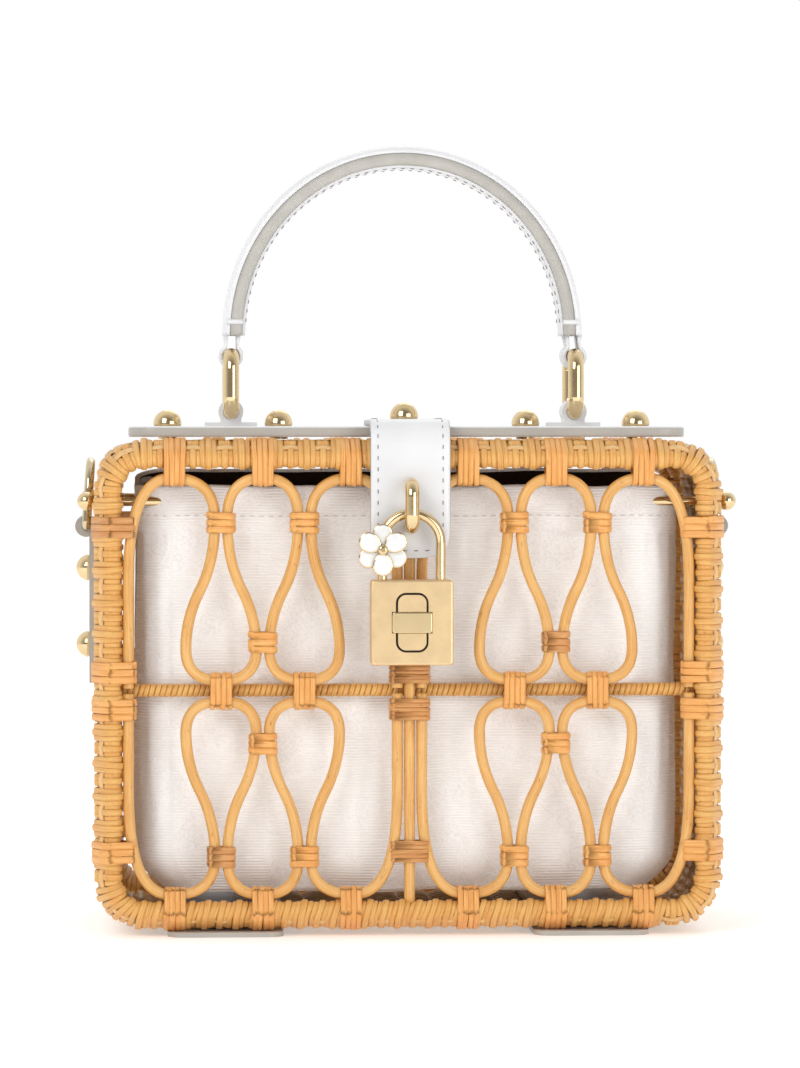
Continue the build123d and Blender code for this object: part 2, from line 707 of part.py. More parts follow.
# Handle: flat leather arch with a loop at each end
arch_start_z = ring_pivot_z + handle_neck
arch_rise = handle_top_z - arch_start_z
arch_half = handle_x + handle_thickness / 2 - neck_overlap
with BuildPart() as handle:
    with BuildSketch(face_plane(panel_middle_y)):
        with Locations((0, arch_start_z)):
            Ellipse(arch_half, arch_rise)
            Ellipse(arch_half - handle_thickness, arch_rise - handle_thickness, mode=Mode.SUBTRACT)
        with Locations((0, arch_start_z + handle_top_z)):
            Rectangle(4 * handle_x, 2 * handle_top_z, mode=Mode.INTERSECT)
    extrude(amount=handle_depth / 2, both=True)
    fillet(handle.edges().filter_by(GeomType.ELLIPSE), handle_edge_round)
    with BuildSketch(face_plane(panel_middle_y)):
        for side in (-1, 1):
            with Locations((side * handle_x, ring_pivot_z)):
                Circle(tab_r)
            with Locations((side * (handle_x - handle_neck_in), ring_pivot_z)):
                Rectangle(
                    handle_neck_thickness, handle_neck + neck_overlap, align=(Align.CENTER, Align.MIN)
                )
            with Locations((side * handle_x, ring_pivot_z)):
                Circle(tab_bore_r, mode=Mode.SUBTRACT)
    extrude(amount=tab_width / 2, both=True)
handle.part.label = "handle"
export_step(handle.part, "parts/handle.step")

# Closing strap: the part sewn to the lid, and the flap that bends down over the front
with BuildPart() as strap_top:
    with BuildSketch(Plane.XY.offset(panel_top_z)):
        with Locations((0, panel_front_y + strap_start / 2)):
            Rectangle(strap_width, strap_start)
        with Locations((0, strap_stud_y)):
            Circle(shank_d / 2 + fit, mode=Mode.SUBTRACT)
    extrude(amount=strap_thickness)
strap_top.part.label = "closure_strap"
export_step(strap_top.part, "parts/closure_strap.step")

flap_start_y = panel_front_y - flap_seam
flap_mid_z = panel_top_z + strap_thickness / 2
flap_mid_y = front_y - flap_gap - strap_thickness / 2
with BuildPart() as flap:
    with BuildSketch(Plane.YZ):
        with BuildLine():
            FilletPolyline(
                (flap_start_y, panel_top_z), (front_y - flap_gap, panel_top_z), (front_y - flap_gap, flap_end_z),
                radius=flap_bend,
            )
            FilletPolyline(
                (flap_start_y, strap_top_z), (flap_face_y, strap_top_z), (flap_face_y, flap_end_z),
                radius=flap_bend + strap_thickness,
            )
            Line((flap_start_y, panel_top_z), (flap_start_y, strap_top_z))
            Line((front_y - flap_gap, flap_end_z), (flap_face_y, flap_end_z))
        make_face()
    extrude(amount=strap_width / 2, both=True)
    fillet(flap.edges().filter_by(Axis.Y).group_by(Axis.Z)[0], flap_corner)
    with Locations((0, flap_mid_y, magnet_z)):
        Cylinder(magnet_d / 2 + fit, magnet_thickness + 2 * fit, rotation=(90, 0, 0), mode=Mode.SUBTRACT)
    for z in staple_z:
        with Locations((0, flap_face_y, z)):
            Cylinder(staple_wire_d / 2 + fit, 2 * staple_bore, rotation=(90, 0, 0), mode=Mode.SUBTRACT)
flap.part.label = "closure_flap"
export_step(flap.part, "parts/closure_flap.step")

with BuildPart() as flap_magnet:
    with Locations((0, flap_mid_y, magnet_z)):
        Cylinder(magnet_d / 2, magnet_thickness, rotation=(90, 0, 0))
flap_magnet.part.label = "flap_magnet"
export_step(flap_magnet.part, "parts/flap_magnet.step")

# Steel keeper for the magnet, fixed on the centre post's strands
keeper_y = front_y - flap_gap + keeper_gap + keeper_thickness / 2
with BuildPart() as keeper:
    with Locations((0, keeper_y, magnet_z)):
        Cylinder(magnet_d / 2, keeper_thickness, rotation=(90, 0, 0))
keeper.part.label = "magnet_keeper"
export_step(keeper.part, "parts/magnet_keeper.step")

staple_points = [
    (flap_face_y + staple_hold, staple_z[1]),
    (flap_face_y - staple_reach, staple_z[1]),
    (flap_face_y - staple_reach, staple_z[0]),
    (flap_face_y + staple_hold, staple_z[0]),
]
with BuildPart() as staple:
    with BuildLine(Plane.YZ) as staple_path:
        FilletPolyline(*staple_points, radius=staple_corner)
    with BuildSketch(Plane(origin=staple_path.line @ 0, z_dir=staple_path.line % 0)):
        Circle(staple_wire_d / 2)
    sweep(path=staple_path.line)
staple.part.label = "staple_ring"
export_step(staple.part, "parts/staple_ring.step")

# Padlock: shackle, body, front plate and its cross band
with BuildPart() as shackle:
    with BuildLine(face_plane(shackle_y)) as shackle_path:
        Line((-shackle_half, lock_top_z - leg_depth), (-shackle_half, shackle_z - shackle_half))
        ThreePointArc(
            (-shackle_half, shackle_z - shackle_half), (0, shackle_z), (shackle_half, shackle_z - shackle_half)
        )
        Line((shackle_half, shackle_z - shackle_half), (shackle_half, lock_top_z - leg_depth))
    with BuildSketch(Plane(origin=(-shackle_half, shackle_y, lock_top_z - leg_depth))):
        Circle(shackle_d / 2)
    sweep(path=shackle_path.line)
shackle.part.label = "shackle"
export_step(shackle.part, "parts/shackle.step")

lock_mid_z = lock_top_z - lock_height / 2
lock_face_y = shackle_y - lock_thickness / 2
with BuildPart() as lock_body:
    with BuildSketch(face_plane(shackle_y)):
        with Locations((0, lock_mid_z)):
            RectangleRounded(lock_width, lock_height, lock_corner)
    extrude(amount=lock_thickness / 2, both=True)
    lock_faces = lock_body.edges().group_by(Axis.Y)
    fillet(lock_faces[0] + lock_faces[-1], lock_edge_round)
    for x in (-shackle_half, shackle_half):
        with Locations((x, shackle_y, lock_top_z)):
            Cylinder(shackle_d / 2 + fit, 2 * (leg_depth + fit), mode=Mode.SUBTRACT)
    with BuildSketch(face_plane(lock_face_y)):
        with Locations((0, lock_mid_z)):
            RectangleRounded(plate_width + 2 * recess_gap, plate_height + 2 * recess_gap, recess_corner)
            Rectangle(band_width + 2 * fit, band_height + 2 * fit)
    extrude(amount=-recess_depth, mode=Mode.SUBTRACT)
lock_body.part.label = "lock_body"
export_step(lock_body.part, "parts/lock_body.step")

with BuildPart() as lock_plate:
    with BuildSketch(face_plane(lock_face_y + recess_depth)):
        with Locations((0, lock_mid_z)):
            RectangleRounded(plate_width, plate_height, plate_corner)
            Rectangle(band_width + 2 * band_gap, band_height + 2 * fit, mode=Mode.SUBTRACT)
    extrude(amount=recess_depth + plate_raise)
lock_plate.part.label = "lock_plates"
export_step(lock_plate.part, "parts/lock_plates.step")

with BuildPart() as lock_band:
    with BuildSketch(face_plane(lock_face_y + recess_depth)):
        with Locations((0, lock_mid_z)):
            RectangleRounded(band_width, band_height, band_corner)
    extrude(amount=recess_depth + band_raise)
    fillet(lock_band.edges().group_by(Axis.Y)[0], band_edge_round)
lock_band.part.label = "lock_band"
export_step(lock_band.part, "parts/lock_band.step")

# Flower charm on the shackle's left leg: two layers of three petals and a bead
flower_back_y = shackle_y - shackle_d / 2 - fit
petal_reach = petal_length / 2 + petal_offset
with BuildPart() as petals:
    for layer in range(2):
        layer_y = flower_back_y - layer * petal_thickness
        with BuildSketch(face_plane(layer_y)):
            with Locations((-shackle_half, flower_z)):
                Circle(flower_hub_d / 2)
                with PolarLocations(petal_reach, petal_count, start_angle=90 + 180 * layer):
                    Ellipse(petal_length / 2, petal_width / 2)
        extrude(amount=petal_thickness)
petals.part.label = "flower_petals"
export_step(petals.part, "parts/flower_petals.step")
with BuildPart() as bead:
    with BuildSketch(face_plane(flower_back_y - 2 * petal_thickness)):
        with Locations((-shackle_half, flower_z)):
            Circle(bead_d / 2)
    extrude(amount=bead_height)
    fillet(bead.edges().group_by(Axis.Y)[0], bead_round)
bead.part.label = "flower_centre"
export_step(bead.part, "parts/flower_centre.step")

# Side straps: leather sewn and riveted to the wall, with a loop for the side ring
side_bore_r = side_ring_wire_d / 2 + hinge_fit
side_loop_r = side_bore_r + side_loop_leather
for side, side_name in ((-1, "left"), (1, "right")):
    with BuildPart() as side_strap:
        with BuildSketch(face_plane(basket_y)):
            strap_height = side_ring_z - side_strap_bottom_z
            strap_mid_x = side_face_x + side_strap_thickness / 2
            with Locations((side * strap_mid_x, side_strap_bottom_z + strap_height / 2)):
                Rectangle(side_strap_thickness, strap_height)
            with Locations((side * side_ring_x, side_ring_z)):
                Circle(side_loop_r)
                Circle(side_bore_r, mode=Mode.SUBTRACT)
            with Locations((side * (side_ring_x - side_loop_r - basket_width / 2 + fit), side_ring_z)):
                Rectangle(basket_width, 3 * side_loop_r, mode=Mode.SUBTRACT)
        extrude(amount=side_strap_width / 2, both=True)
        for z in side_stud_z:
            with Locations((side * side_face_x, basket_y, z)):
                Cylinder(shank_d / 2 + fit, 4 * side_strap_thickness, rotation=(0, 90, 0), mode=Mode.SUBTRACT)
    side_strap.part.label = f"side_strap_{side_name}"
    export_step(side_strap.part, f"parts/side_strap_{side_name}.step")

    lean = math.radians(side_ring_lean)
    up = Vector(-side * math.sin(lean), 0, math.cos(lean))
    ring_middle = Vector(side * side_ring_x, basket_y, side_ring_z) + up * (side_ring_height / 2)
    across = Vector(0, 1, 0)
    half_d, half_h = side_ring_depth / 2, side_ring_height / 2
    with BuildPart() as side_ring:
        with BuildLine(Plane(origin=ring_middle, x_dir=across, z_dir=across.cross(up))) as ring_path:
            FilletPolyline(
                (-half_d, -half_h), (half_d, -half_h), (half_d, half_h), (-half_d, half_h),
                radius=[side_ring_foot_corner, side_ring_foot_corner, side_ring_corner, side_ring_corner],
                close=True,
            )
        with BuildSketch(Plane(origin=ring_path.line @ 0, z_dir=ring_path.line % 0)):
            Circle(side_ring_wire_d / 2)
        sweep(path=ring_path.line)
    side_ring.part.label = f"side_ring_{side_name}"
    export_step(side_ring.part, f"parts/side_ring_{side_name}.step")

side_grip = side_strap_thickness + fit + wall_thickness + fit
with BuildPart() as side_studs:
    for side in (-1, 1):
        for z in side_stud_z:
            head = Plane(origin=(side * strap_face_x, basket_y, z), x_dir=(0, 1, 0), z_dir=(side, 0, 0))
            add(rivet(head, side_stud_d, side_stud_height, side_grip))
side_studs.part.label = "side_strap_studs"
export_step(side_studs.part, "parts/side_strap_studs.step")
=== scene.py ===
import math
import random

import bpy
import numpy as np
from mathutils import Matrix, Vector, noise


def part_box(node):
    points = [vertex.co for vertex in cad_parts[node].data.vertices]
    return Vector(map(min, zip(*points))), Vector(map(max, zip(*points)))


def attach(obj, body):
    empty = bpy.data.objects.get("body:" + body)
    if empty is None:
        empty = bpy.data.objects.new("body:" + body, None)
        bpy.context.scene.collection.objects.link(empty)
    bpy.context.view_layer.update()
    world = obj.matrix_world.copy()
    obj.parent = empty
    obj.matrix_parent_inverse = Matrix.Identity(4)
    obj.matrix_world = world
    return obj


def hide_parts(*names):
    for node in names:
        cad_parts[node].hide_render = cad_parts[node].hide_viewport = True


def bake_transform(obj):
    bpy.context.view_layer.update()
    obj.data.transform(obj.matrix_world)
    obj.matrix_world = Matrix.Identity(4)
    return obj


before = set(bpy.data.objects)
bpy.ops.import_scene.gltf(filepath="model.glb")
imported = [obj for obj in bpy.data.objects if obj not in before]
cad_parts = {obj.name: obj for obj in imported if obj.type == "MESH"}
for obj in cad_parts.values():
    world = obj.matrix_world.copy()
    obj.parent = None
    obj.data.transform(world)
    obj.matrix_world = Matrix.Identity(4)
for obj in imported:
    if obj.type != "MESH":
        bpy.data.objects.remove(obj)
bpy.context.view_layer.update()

# ---------------------------------------------------------------- camera, floor and light
# A long lens a little to the bag's left, level with the lid, as a bag is shown on a
# white studio table under large soft lights.
MM = 0.001


def corners(node):
    """Lowest and highest corner of a CAD node, in millimetres."""
    low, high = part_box(node)
    return np.array(low) / MM, np.array(high) / MM


front_face_y = corners("front_rim_weave")[0][1]
camera_distance, camera_height = 1500.0, 157.0
camera_yaw = math.radians(3.0)
aim_x, aim_z = -3.1, 125.0
aim = Vector((aim_x, front_face_y, aim_z)) * MM
eye = Vector((
    aim.x - camera_distance * math.sin(camera_yaw) * MM,
    aim.y - camera_distance * math.cos(camera_yaw) * MM,
    camera_height * MM,
))
camera_data = bpy.data.cameras.new("camera")
camera_data.lens = 163.5
camera = bpy.data.objects.new("camera", camera_data)
camera.location = eye
camera.rotation_euler = (aim - eye).to_track_quat("-Z", "Y").to_euler()
bpy.context.scene.collection.objects.link(camera)
bpy.context.scene.camera = camera
bpy.context.scene.view_settings.view_transform = "Standard"

floor_mesh = bpy.data.meshes.new("floor")
reach = 6.0
floor_mesh.from_pydata(
    [(-reach, -reach, 0), (reach, -reach, 0), (reach, reach, 0), (-reach, reach, 0)], [], [(0, 1, 2, 3)]
)
floor = bpy.data.objects.new("floor", floor_mesh)
bpy.context.scene.collection.objects.link(floor)
floor_finish = bpy.data.materials.new("pale_floor")
floor_finish.use_nodes = True
floor_shader = floor_finish.node_tree.nodes["Principled BSDF"]
floor_shader.inputs["Base Color"].default_value = (0.93, 0.93, 0.93, 1)
floor_shader.inputs["Roughness"].default_value = 0.75
floor_shader.inputs["Emission Color"].default_value = (1, 1, 1, 1)
floor_shader.inputs["Emission Strength"].default_value = 0.34
floor_mesh.materials.append(floor_finish)

world = bpy.data.worlds.new("studio")
bpy.context.scene.world = world
world.use_nodes = True
sky_way = world.node_tree.nodes.new("ShaderNodeTexCoord").outputs["Generated"]
sky_parts = world.node_tree.nodes.new("ShaderNodeSeparateXYZ")
sky_depth = world.node_tree.nodes.new("ShaderNodeMapRange")
sky_depth.inputs["From Min"].default_value = -0.75
sky_depth.inputs["From Max"].default_value = 0.15
sky_depth.inputs["To Min"].default_value = 0.26
world.node_tree.links.new(sky_way, sky_parts.inputs[0])
world.node_tree.links.new(sky_parts.outputs["Y"], sky_depth.inputs["Value"])
world.node_tree.links.new(sky_depth.outputs[0], world.node_tree.nodes["Background"].inputs["Color"])
world.node_tree.nodes["Background"].inputs["Strength"].default_value = 1.0


def soft_box(name, place, aim_at, size, power):
    """Large square light pointing at a place."""
    data = bpy.data.lights.new(name, "AREA")
    data.shape = "SQUARE"
    data.size = size
    data.energy = power
    light = bpy.data.objects.new(name, data)
    light.location = place
    light.rotation_euler = (Vector(aim_at) - Vector(place)).to_track_quat("-Z", "Y").to_euler()
    bpy.context.scene.collection.objects.link(light)


soft_box("key_light", (-0.8, -1.3, 0.95), (0, 0, 0.1), 0.9, 11)
soft_box("fill_light", (0.9, -1.3, 0.35), (0, 0, 0.1), 0.9, 7.5)
soft_box("back_light", (0.2, 1.3, 1.2), (0, 0, 0.1), 1.0, 2)

# ---------------------------------------------------------------- rim winding
# The two rim rods of each face are wound together with split cane: a full turn round
# both rods, then a short turn round the front one alone, while a flat strip runs along
# the rim over the short turns and under the full ones.
rng = random.Random(7)


def material(name):
    """New node material; returns it with its shader and its node and link lists."""
    finish = bpy.data.materials.new(name)
    finish.use_nodes = True
    tree = finish.node_tree
    return finish, tree.nodes["Principled BSDF"], tree.nodes, tree.links


def ramp(nodes, links, source, stops):
    """Colour ramp fed by a value; stops are (place, colour)."""
    node = nodes.new("ShaderNodeValToRGB")
    while len(node.color_ramp.elements) < len(stops):
        node.color_ramp.elements.new(0.5)
    for element, (place, colour) in zip(node.color_ramp.elements, stops):
        element.position = place
        element.color = (*colour, 1)
    links.new(source, node.inputs["Fac"])
    return node.outputs["Color"]


def noise_node(nodes, links, vector, scale, detail=3.0, rough=0.55):
    """Noise texture on a vector; returns its value."""
    node = nodes.new("ShaderNodeTexNoise")
    node.inputs["Scale"].default_value = scale
    node.inputs["Detail"].default_value = detail
    node.inputs["Roughness"].default_value = rough
    links.new(vector, node.inputs["Vector"])
    return node.outputs["Fac"]


def stretched(nodes, links, vector, scale):
    """The vector times a scale on each axis."""
    node = nodes.new("ShaderNodeVectorMath")
    node.operation = "MULTIPLY"
    node.inputs[1].default_value = scale
    links.new(vector, node.inputs[0])
    return node.outputs[0]


def mixed(nodes, links, share, first, second, blend_type="MIX"):
    """Two colours mixed by a share, which may be a number or a socket."""
    node = nodes.new("ShaderNodeMix")
    node.data_type = "RGBA"
    node.blend_type = blend_type
    for value, socket in ((share, node.inputs[0]), (first, node.inputs[6]), (second, node.inputs[7])):
        if isinstance(value, bpy.types.NodeSocket):
            links.new(value, socket)
        else:
            socket.default_value = value
    return node.outputs[2]


def bumped(nodes, links, shader, height, strength, distance):
    """Bump on a shader, from a height."""
    node = nodes.new("ShaderNodeBump")
    node.inputs["Strength"].default_value = strength
    node.inputs["Distance"].default_value = distance
    links.new(height, node.inputs["Height"])
    links.new(node.outputs["Normal"], shader.inputs["Normal"])


def cane_finish(name, light, dark, stain):
    """Split or whole cane: long fibres, slow changes of tone, dark nicks, a low satin gloss."""
    finish, shader, nodes, links = material(name)
    grain = nodes.new("ShaderNodeAttribute")
    grain.attribute_name = "grain"
    vector = grain.outputs["Vector"]
    fibres = noise_node(nodes, links, stretched(nodes, links, vector, (0.10, 3.4, 9.0)), 1.0, 4.0, 0.6)
    patches = noise_node(nodes, links, stretched(nodes, links, vector, (0.07, 0.25, 31.0)), 1.0, 2.0)
    nicks = noise_node(nodes, links, stretched(nodes, links, vector, (0.35, 1.6, 17.0)), 1.0, 2.0)
    tone = ramp(nodes, links, fibres, [(0.30, dark), (0.62, light)])
    patch_tone = ramp(nodes, links, patches, [(0.36, stain), (0.58, (1, 1, 1))])
    toned = mixed(nodes, links, 0.55, tone, patch_tone, "MULTIPLY")
    nick_tone = ramp(nodes, links, nicks, [(0.26, (0.42, 0.24, 0.10)), (0.33, (1, 1, 1))])
    colour = mixed(nodes, links, 0.7, toned, nick_tone, "MULTIPLY")
    links.new(colour, shader.inputs["Base Color"])
    shader.inputs["Roughness"].default_value = 0.42
    shader.inputs["Coat Weight"].default_value = 0.18
    shader.inputs["Coat Roughness"].default_value = 0.28
    bumped(nodes, links, shader, fibres, 0.35, 0.00025)
    return finish


weave_cane = cane_finish("weave_cane", (0.79, 0.455, 0.135), (0.60, 0.29, 0.065), (0.92, 0.74, 0.50))
pale_cane = cane_finish("pale_cane", (0.83, 0.54, 0.23), (0.68, 0.40, 0.14), (0.94, 0.80, 0.60))


def skin(rings, count, closed=False, capped=False, flip=False):
    """Faces that join rings of points one to the next; every ring has the same count."""
    faces = []
    for ring in range(rings if closed else rings - 1):
        here, there = ring * count, (ring + 1) % rings * count
        for k in range(count):
            j = (k + 1) % count
            if flip:
                faces.append((here + k, there + k, there + j, here + j))
            else:
                faces.append((here + k, here + j, there + j, there + k))
    if capped:
        faces.append(tuple(range(count))[::-1])
        faces.append(tuple((rings - 1) * count + k for k in range(count)))
    return faces


def strip_ring(circles, origin, across, outward, along, width, thickness, steps=20, slant=0.0, lift=0.0):
    """One turn of flat cane pulled tight round a bundle of rods.

    circles are (across, outward, radius) of the rods; along is the way the rods run. A radius
    below zero puts the cane inside an outline. Returns points, faces and grain coordinates.
    """
    profile = [(-0.5, 0.1), (-0.45, 0.78), (-0.2, 1.0), (0.2, 1.0), (0.45, 0.78), (0.5, 0.1)]
    tint = rng.random()
    start = math.radians(20)
    points, grain = [], []
    travelled = 0.0
    last = None
    for step in range(steps):
        angle = start + 2 * math.pi * step / steps
        way = np.array((math.cos(angle), math.sin(angle)))
        hold = max(circles, key=lambda c: c[0] * way[0] + c[1] * way[1] + c[2])
        base = np.array(hold[:2]) + way * (hold[2] + lift)
        if last is not None:
            travelled += np.linalg.norm(base - last)
        last = base
        shift = slant * math.sin(angle)
        for side, height in profile:
            spot = base + way * height * thickness
            points.append(origin + across * spot[0] + outward * spot[1] + along * (side * width + shift))
            grain.append((travelled, side * width, tint))
    return points, skin(steps, len(profile), closed=True, flip=True), grain


def joined(parts):
    """Several (points, faces, grain) as one."""
    points, faces, grain = [], [], []
    for part_points, part_faces, part_grain in parts:
        offset = len(points)
        points.extend(part_points)
        faces.extend(tuple(i + offset for i in face) for face in part_faces)
        grain.extend(part_grain or [(0.0, 0.0, 0.0)] * len(part_points))
    return points, faces, grain


def piece(name, part, finish, body, stands_for=()):
    """Makes an object of (points in mm, faces, grain) and ties it to its body."""
    points, faces, grain = part
    mesh = bpy.data.meshes.new(name)
    mesh.from_pydata([tuple(np.array(p) * MM) for p in points], [], faces)
    mesh.materials.append(finish)
    if grain:
        layer = mesh.attributes.new("grain", "FLOAT_VECTOR", "POINT")
        layer.data.foreach_set("vector", np.array(grain, dtype=float).ravel())
    mesh.polygons.foreach_set("use_smooth", [True] * len(faces))
    mesh.update()
    made = bpy.data.objects.new(name, mesh)
    bpy.context.scene.collection.objects.link(made)
    if body:
        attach(made, body)
    if stands_for:
        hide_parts(*stands_for)
    return made


X, Y, Z = np.eye(3)
rod_low, rod_high = corners("front_inner_rod")
basket_y = (corners("side_weave_left")[0][1] + corners("side_weave_left")[1][1]) / 2
rod_r = (rod_high[1] - rod_low[1]) / 2
rim_rod_y = (rod_high[1] + rod_low[1]) / 2
rim_half_w = (rod_high[0] - rod_low[0]) / 2 - rod_r
rim_low_z = rod_low[2] + rod_r
rim_high_z = rod_high[2] - rod_r
corner_r = 9.9
outer_low, outer_high = corners("front_outer_rod")
step_back = (outer_low[1] + outer_high[1]) / 2 - rim_rod_y
step_out = outer_high[0] - rod_high[0]
turn_width = 5.0
strips_in_turn = 3
strip_overlap = 0.42
strip_width = turn_width / strips_in_turn + strip_overlap
strip_thickness = 0.78
middle_crown, crown_fall = 0.72, 0.52
short_turn_drop, foot_turn_drop, foot_lean = 0.42, 0.25, 0.9


def on_face(face, y):
    """A place's Y on the front (face 1), or mirrored to the back (face -1)."""
    return y if face > 0 else 2 * basket_y - y


def rim_place(distance):
    """Point on the front inner rod's line and its outward way, at a distance round the rim."""
    half_w, half_h = rim_half_w, (rim_high_z - rim_low_z) / 2
    middle_z = (rim_high_z + rim_low_z) / 2
    straight_w, straight_h = 2 * (half_w - corner_r), 2 * (half_h - corner_r)
    arc = math.pi / 2 * corner_r
    legs = [
        ((-half_w + corner_r, half_h), (1, 0), straight_w),
        ((half_w, half_h - corner_r), (0, -1), straight_h),
        ((half_w - corner_r, -half_h), (-1, 0), straight_w),
        ((-half_w, -half_h + corner_r), (0, 1), straight_h),
    ]
    distance %= 2 * (straight_w + straight_h) + 4 * arc
    for start, way, length in legs:
        out = np.array((-way[1], way[0]), dtype=float)
        if distance <= length:
            spot = np.array(start) + np.array(way) * distance
            return spot + (0, middle_z), out
        distance -= length
        if distance <= arc:
            turn = distance / corner_r
            pivot = np.array(start) + np.array(way) * length - out * corner_r
            out = out * math.cos(turn) + np.array(way) * math.sin(turn)
            return pivot + out * corner_r + (0, middle_z), out
        distance -= arc
    return rim_place(0.0)


rim_straights = 4 * (rim_half_w - corner_r) + 2 * (rim_high_z - rim_low_z - 2 * corner_r)
rim_length = rim_straights + 2 * math.pi * corner_r
pair_count = round(rim_length / (2 * turn_width))
pair_pitch = rim_length / pair_count
rod_clearance = 0.12
both_rods = [(0, 0, rod_r + rod_clearance), (step_back, step_out, rod_r + rod_clearance)]


def rim_winding(face):
    """All turns of one face's rim; face is 1 for the front and -1 for the back."""
    parts = []
    row_y = on_face(face, rim_rod_y)
    across = Y * face

    def turn(distance, circles, width, lift=0.0, slant=0.0, steps=20):
        spot, out = rim_place(distance)
        outward = np.array((out[0], 0, out[1]))
        along = np.cross(across, outward)
        origin = np.array((spot[0], row_y, spot[1]))
        parts.append(strip_ring(circles, origin, across, outward, along, width, strip_thickness,
                                steps=steps, slant=slant, lift=lift))

    for pair in range(pair_count):
        start = pair * pair_pitch + rng.uniform(-0.25, 0.25)
        bottom = rim_place(start)[0][1] < rim_low_z + 1
        for strip in range(strips_in_turn):
            place = (strip - 1) * turn_width / strips_in_turn
            crown = middle_crown - crown_fall * abs(strip - 1)
            lean = rng.uniform(-0.25, 0.25) + (foot_lean if bottom else 0.0)
            turn(start + place, both_rods, strip_width, lift=crown, slant=lean)
            between = start + pair_pitch / 2 + place
            if bottom:
                turn(between, both_rods, strip_width, lift=crown - foot_turn_drop, slant=lean)
                continue
            turn(between, [both_rods[0]], strip_width, lift=crown - short_turn_drop, steps=16)
            if strip < 2:
                turn(between + 0.8, [both_rods[1]], 2.3, lift=0.1, steps=16)
    return joined(parts)


def rim_strip(face):
    """Flat strip along the rim, over the short turns and under the full ones."""
    row_y = on_face(face, rim_rod_y)
    tilt = math.atan2(step_out, step_back)
    outer_way = np.array((-math.sin(tilt), math.cos(tilt)))
    seat = np.array((step_back, step_out)) * 0.44 + outer_way * (rod_r + 0.2)
    steps_in_pair = 8
    count = pair_count * steps_in_pair
    half_width, thickness = 1.25, 0.6
    profile = [(-1, 0), (-0.8, 1), (0.8, 1), (1, 0)]
    points, grain = [], []
    for step in range(count):
        distance = step * rim_length / count
        phase = math.cos(2 * math.pi * (distance / pair_pitch))
        height = -0.15 - 0.5 * phase
        spot, out = rim_place(distance)
        outward = np.array((out[0], 0, out[1]))
        origin = np.array((spot[0], row_y, spot[1]))
        along_width = np.array((math.cos(tilt), math.sin(tilt)))
        for side, level in profile:
            flat = seat + along_width * side * half_width + outer_way * (height + level * thickness)
            points.append(origin + Y * face * flat[0] + outward * flat[1])
            grain.append((distance, side * half_width, 0.4))
    return points, skin(count, len(profile), closed=True, flip=True), grain


for face, face_name in ((1, "front"), (-1, "back")):
    piece(f"{face_name}_rim_winding", rim_winding(face), weave_cane, "basket",
          [f"{face_name}_rim_weave"])
    piece(f"{face_name}_rim_strip", rim_strip(face), pale_cane, "basket", ())

# ---------------------------------------------------------------- lattice canes
# Four round canes on each face, steamed and bent in one piece from the side, over the
# arches and round the two hanging drops, to the middle post.
cane_r = 1.7
lattice_drops = (58.4, 32.6)
drop_half, strand_half = 10.9, 1.9
drop_foot, drop_belly, drop_neck = 3.2, 19.4, 17.6
loop_low, loop_high = corners("front_loop_upper_left")
under_low = corners("front_loop_lower_left")[0]
lattice_y = (loop_low[1] + loop_high[1]) / 2
side_x = -loop_low[0] - cane_r
arch_z, sill_z = loop_high[2] - cane_r, under_low[2] + cane_r
bar_box = corners("front_mid_bar")
bar_z = (bar_box[0][2] + bar_box[1][2]) / 2
post_box = corners("front_centre_post")
post_x = -loop_high[0] + cane_r


def eased(control, piece_length=0.9):
    """Even points on the smooth curve drawn inside a control polygon, straight at its ends."""
    control = np.array(control, dtype=float)
    middles = (control[:-1] + control[1:]) / 2
    spots = [control[0]]
    for before, corner, after in zip(middles[:-1], control[1:-1], middles[1:]):
        for share in np.linspace(0, 1, 14):
            spots.append((1 - share) ** 2 * before + 2 * share * (1 - share) * corner + share ** 2 * after)
    spots.append(control[-1])
    spots = np.array(spots)
    run = np.concatenate(([0], np.cumsum(np.linalg.norm(np.diff(spots, axis=0), axis=1))))
    even = np.linspace(0, run[-1], max(3, int(run[-1] / piece_length)))
    return np.stack([np.interp(even, run, spots[:, i]) for i in range(spots.shape[1])], axis=1)


def rod(path, radius, sides=12, uneven=0.0):
    """Round rod along points, with closed ends; uneven is how much its radius wanders."""
    path = np.array(path, dtype=float)
    count = len(path)
    ways = np.gradient(path, axis=0)
    ways /= np.linalg.norm(ways, axis=1)[:, None]
    side = np.cross(ways[0], Y)
    if np.linalg.norm(side) < 0.3:
        side = np.cross(ways[0], Z)
    tint, seed = rng.random(), rng.random() * 50
    points, grain = [], []
    travelled = 0.0
    for i in range(count):
        side = side - ways[i] * side.dot(ways[i])
        side /= np.linalg.norm(side)
        up = np.cross(ways[i], side)
        if i:
            travelled += np.linalg.norm(path[i] - path[i - 1])
        grow = radius * (1 + uneven * noise.noise((travelled * 0.06, seed, 0)))
        for k in range(sides):
            angle = 2 * math.pi * k / sides
            points.append(path[i] + (side * math.cos(angle) + up * math.sin(angle)) * grow)
            grain.append((travelled, min(angle, 2 * math.pi - angle) * radius, tint))
    return points, skin(count, sides, capped=True), grain


